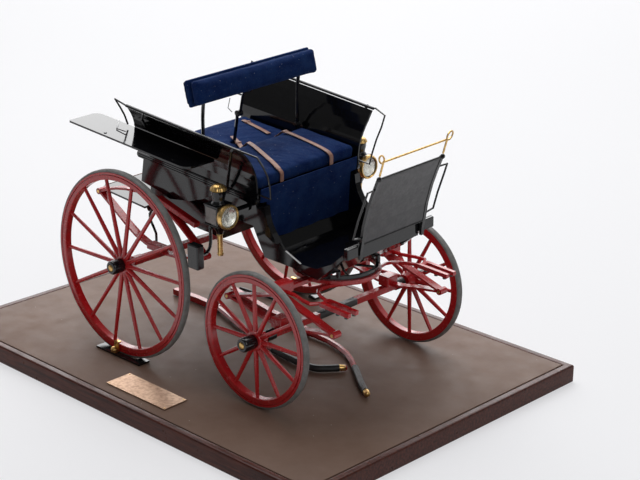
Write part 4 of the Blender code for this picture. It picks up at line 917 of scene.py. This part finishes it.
def plaque_pins():
    """A small pin at each corner of the brass plaque."""
    corners = ((33.2, -135.5), (32.6, -115.7), (93.0, -116.2), (93.8, -135.1))
    pins = [ball((x, y, 0.8), 0.7, 0.5) for x, y in corners]
    piece("plaque_pins", joined(*pins), CARRIAGE, "carriage", "brass")


def fittings():
    loose_shaft_leather()
    axle_wraps()
    spring_rivets()
    fork_nuts()
    small_wires()
    edge_strip()
    board_cover()
    dash_foot_shade_strip()
    plaque_pins()


# ---------------------------------------------------------------- studio

def linked_math(tree, operation, first, second):
    """A Math node's output, from two values that are sockets or numbers."""
    node = tree.nodes.new("ShaderNodeMath")
    node.operation = operation
    for socket, value in zip(node.inputs, (first, second)):
        if isinstance(value, float):
            socket.default_value = value
        else:
            tree.links.new(value, socket)
    return node.outputs["Value"]


PAPER_GLOW = 0.6
FLOOR_HALF = 4.0
FLOOR_DROP = 0.0005
# Name, place, size and power of each soft light
LIGHTS = (
    ("overhead", (-0.35, 0.25, 1.3), (1.3, 1.0), 13.0),
    ("behind", (-1.19, 1.35, 1.0), (2.4, 1.3), 26.0),
    ("front_right", (1.2, -0.5, 0.9), (0.7, 0.9), 3.6),
)
LIGHT_AIM = (0.0, 0.0, 0.1)


def white_paper():
    """White paper whose shadows are partly filled where the camera, metal and glass show it."""
    material = bpy.data.materials.new("white_paper")
    material.use_nodes = True
    tree = material.node_tree
    shader = tree.nodes["Principled BSDF"]
    shader.inputs["Base Color"].default_value = (0.9, 0.9, 0.91, 1.0)
    shader.inputs["Roughness"].default_value = 0.9
    glow = tree.nodes.new("ShaderNodeEmission")
    glow.inputs["Color"].default_value = (0.9, 0.9, 0.925, 1.0)
    ray = tree.nodes.new("ShaderNodeLightPath")
    seen = linked_math(tree, "MAXIMUM", ray.outputs["Is Camera Ray"], ray.outputs["Is Glossy Ray"])
    seen = linked_math(tree, "MAXIMUM", seen, ray.outputs["Is Transmission Ray"])
    pick = tree.nodes.new("ShaderNodeMixShader")
    tree.links.new(linked_math(tree, "MULTIPLY", seen, PAPER_GLOW), pick.inputs["Fac"])
    tree.links.new(shader.outputs["BSDF"], pick.inputs[1])
    tree.links.new(glow.outputs["Emission"], pick.inputs[2])
    tree.links.new(pick.outputs["Shader"], tree.nodes["Material Output"].inputs["Surface"])
    return material


def floor():
    shape = bmesh.new()
    bmesh.ops.create_grid(shape, x_segments=1, y_segments=1, size=FLOOR_HALF)
    ground = from_bmesh(shape)
    ground.name = "studio_floor"
    ground.location.z = -FLOOR_DROP
    ground.data.materials.append(white_paper())


def soft_light(name, place, size, power):
    data = bpy.data.lights.new(name, "AREA")
    data.shape = "RECTANGLE"
    data.size, data.size_y = size
    data.energy = power
    item = bpy.data.objects.new(name, data)
    bpy.context.scene.collection.objects.link(item)
    item.visible_camera = False
    item.location = place
    aim = Vector(LIGHT_AIM) - Vector(place)
    item.rotation_euler = aim.to_track_quat("-Z", "Y").to_euler()


def white_room():
    """Dim light from all round; white to the camera and in glass, and a white sheet behind the
    carriage that gloss and metal show."""
    world = bpy.data.worlds.new("white_room")
    world.use_nodes = True
    tree = world.node_tree
    room = tree.nodes["Background"]
    room.inputs["Color"].default_value = (1.0, 1.0, 1.0, 1.0)
    room.inputs["Strength"].default_value = 0.11
    seen = tree.nodes.new("ShaderNodeBackground")
    seen.inputs["Color"].default_value = (0.96, 0.96, 0.98, 1.0)
    seen.inputs["Strength"].default_value = 1.0
    ray = tree.nodes.new("ShaderNodeLightPath")
    where = tree.nodes.new("ShaderNodeTexCoord")
    behind = tree.nodes.new("ShaderNodeVectorMath")
    behind.operation = "DOT_PRODUCT"
    behind.inputs[1].default_value = (-0.66, 0.75, 0.0)
    tree.links.new(where.outputs["Generated"], behind.inputs[0])
    sheet = tree.nodes.new("ShaderNodeMapRange")
    sheet.inputs["From Min"].default_value = 0.1
    sheet.inputs["From Max"].default_value = 0.5
    tree.links.new(behind.outputs["Value"], sheet.inputs["Value"])
    glossy = linked_math(tree, "MULTIPLY", ray.outputs["Is Glossy Ray"], sheet.outputs["Result"])
    straight = linked_math(
        tree, "MAXIMUM", ray.outputs["Is Camera Ray"], ray.outputs["Is Transmission Ray"]
    )
    pick = tree.nodes.new("ShaderNodeMixShader")
    tree.links.new(linked_math(tree, "MAXIMUM", straight, glossy), pick.inputs["Fac"])
    tree.links.new(room.outputs["Background"], pick.inputs[1])
    tree.links.new(seen.outputs["Background"], pick.inputs[2])
    tree.links.new(pick.outputs["Shader"], tree.nodes["World Output"].inputs["Surface"])
    bpy.context.scene.world = world


def studio():
    floor()
    white_room()
    for row in LIGHTS:
        soft_light(*row)


def camera():
    """The photograph's own viewpoint, solved from the base's edges, wheels and axles."""
    data = bpy.data.cameras.new("photo_view")
    data.sensor_width = 36.0
    data.lens = 94.587
    data.clip_start = 0.01
    item = bpy.data.objects.new("photo_view", data)
    bpy.context.scene.collection.objects.link(item)
    yaw, pitch, roll = 2.3294136, 0.3496278, -0.0162620
    level_ahead = Vector((math.cos(yaw), math.sin(yaw), 0.0))
    ahead = level_ahead * math.cos(pitch) - Vector((0.0, 0.0, math.sin(pitch)))
    level = Vector((math.sin(yaw), -math.cos(yaw), 0.0))
    down = ahead.cross(level)
    right = math.cos(roll) * level + math.sin(roll) * down
    under = -math.sin(roll) * level + math.cos(roll) * down
    aim = Matrix((right, -under, -ahead)).transposed().to_4x4()
    aim.translation = (0.8634045, -0.8383184, 0.5380888)
    item.matrix_world = aim
    bpy.context.scene.camera = item


def main():
    finish_packed_nodes()
    display_base()
    all_wheels()
    upholstery()
    lamps()
    fittings()
    studio()
    camera()
    bpy.context.scene.view_settings.view_transform = "Standard"


main()
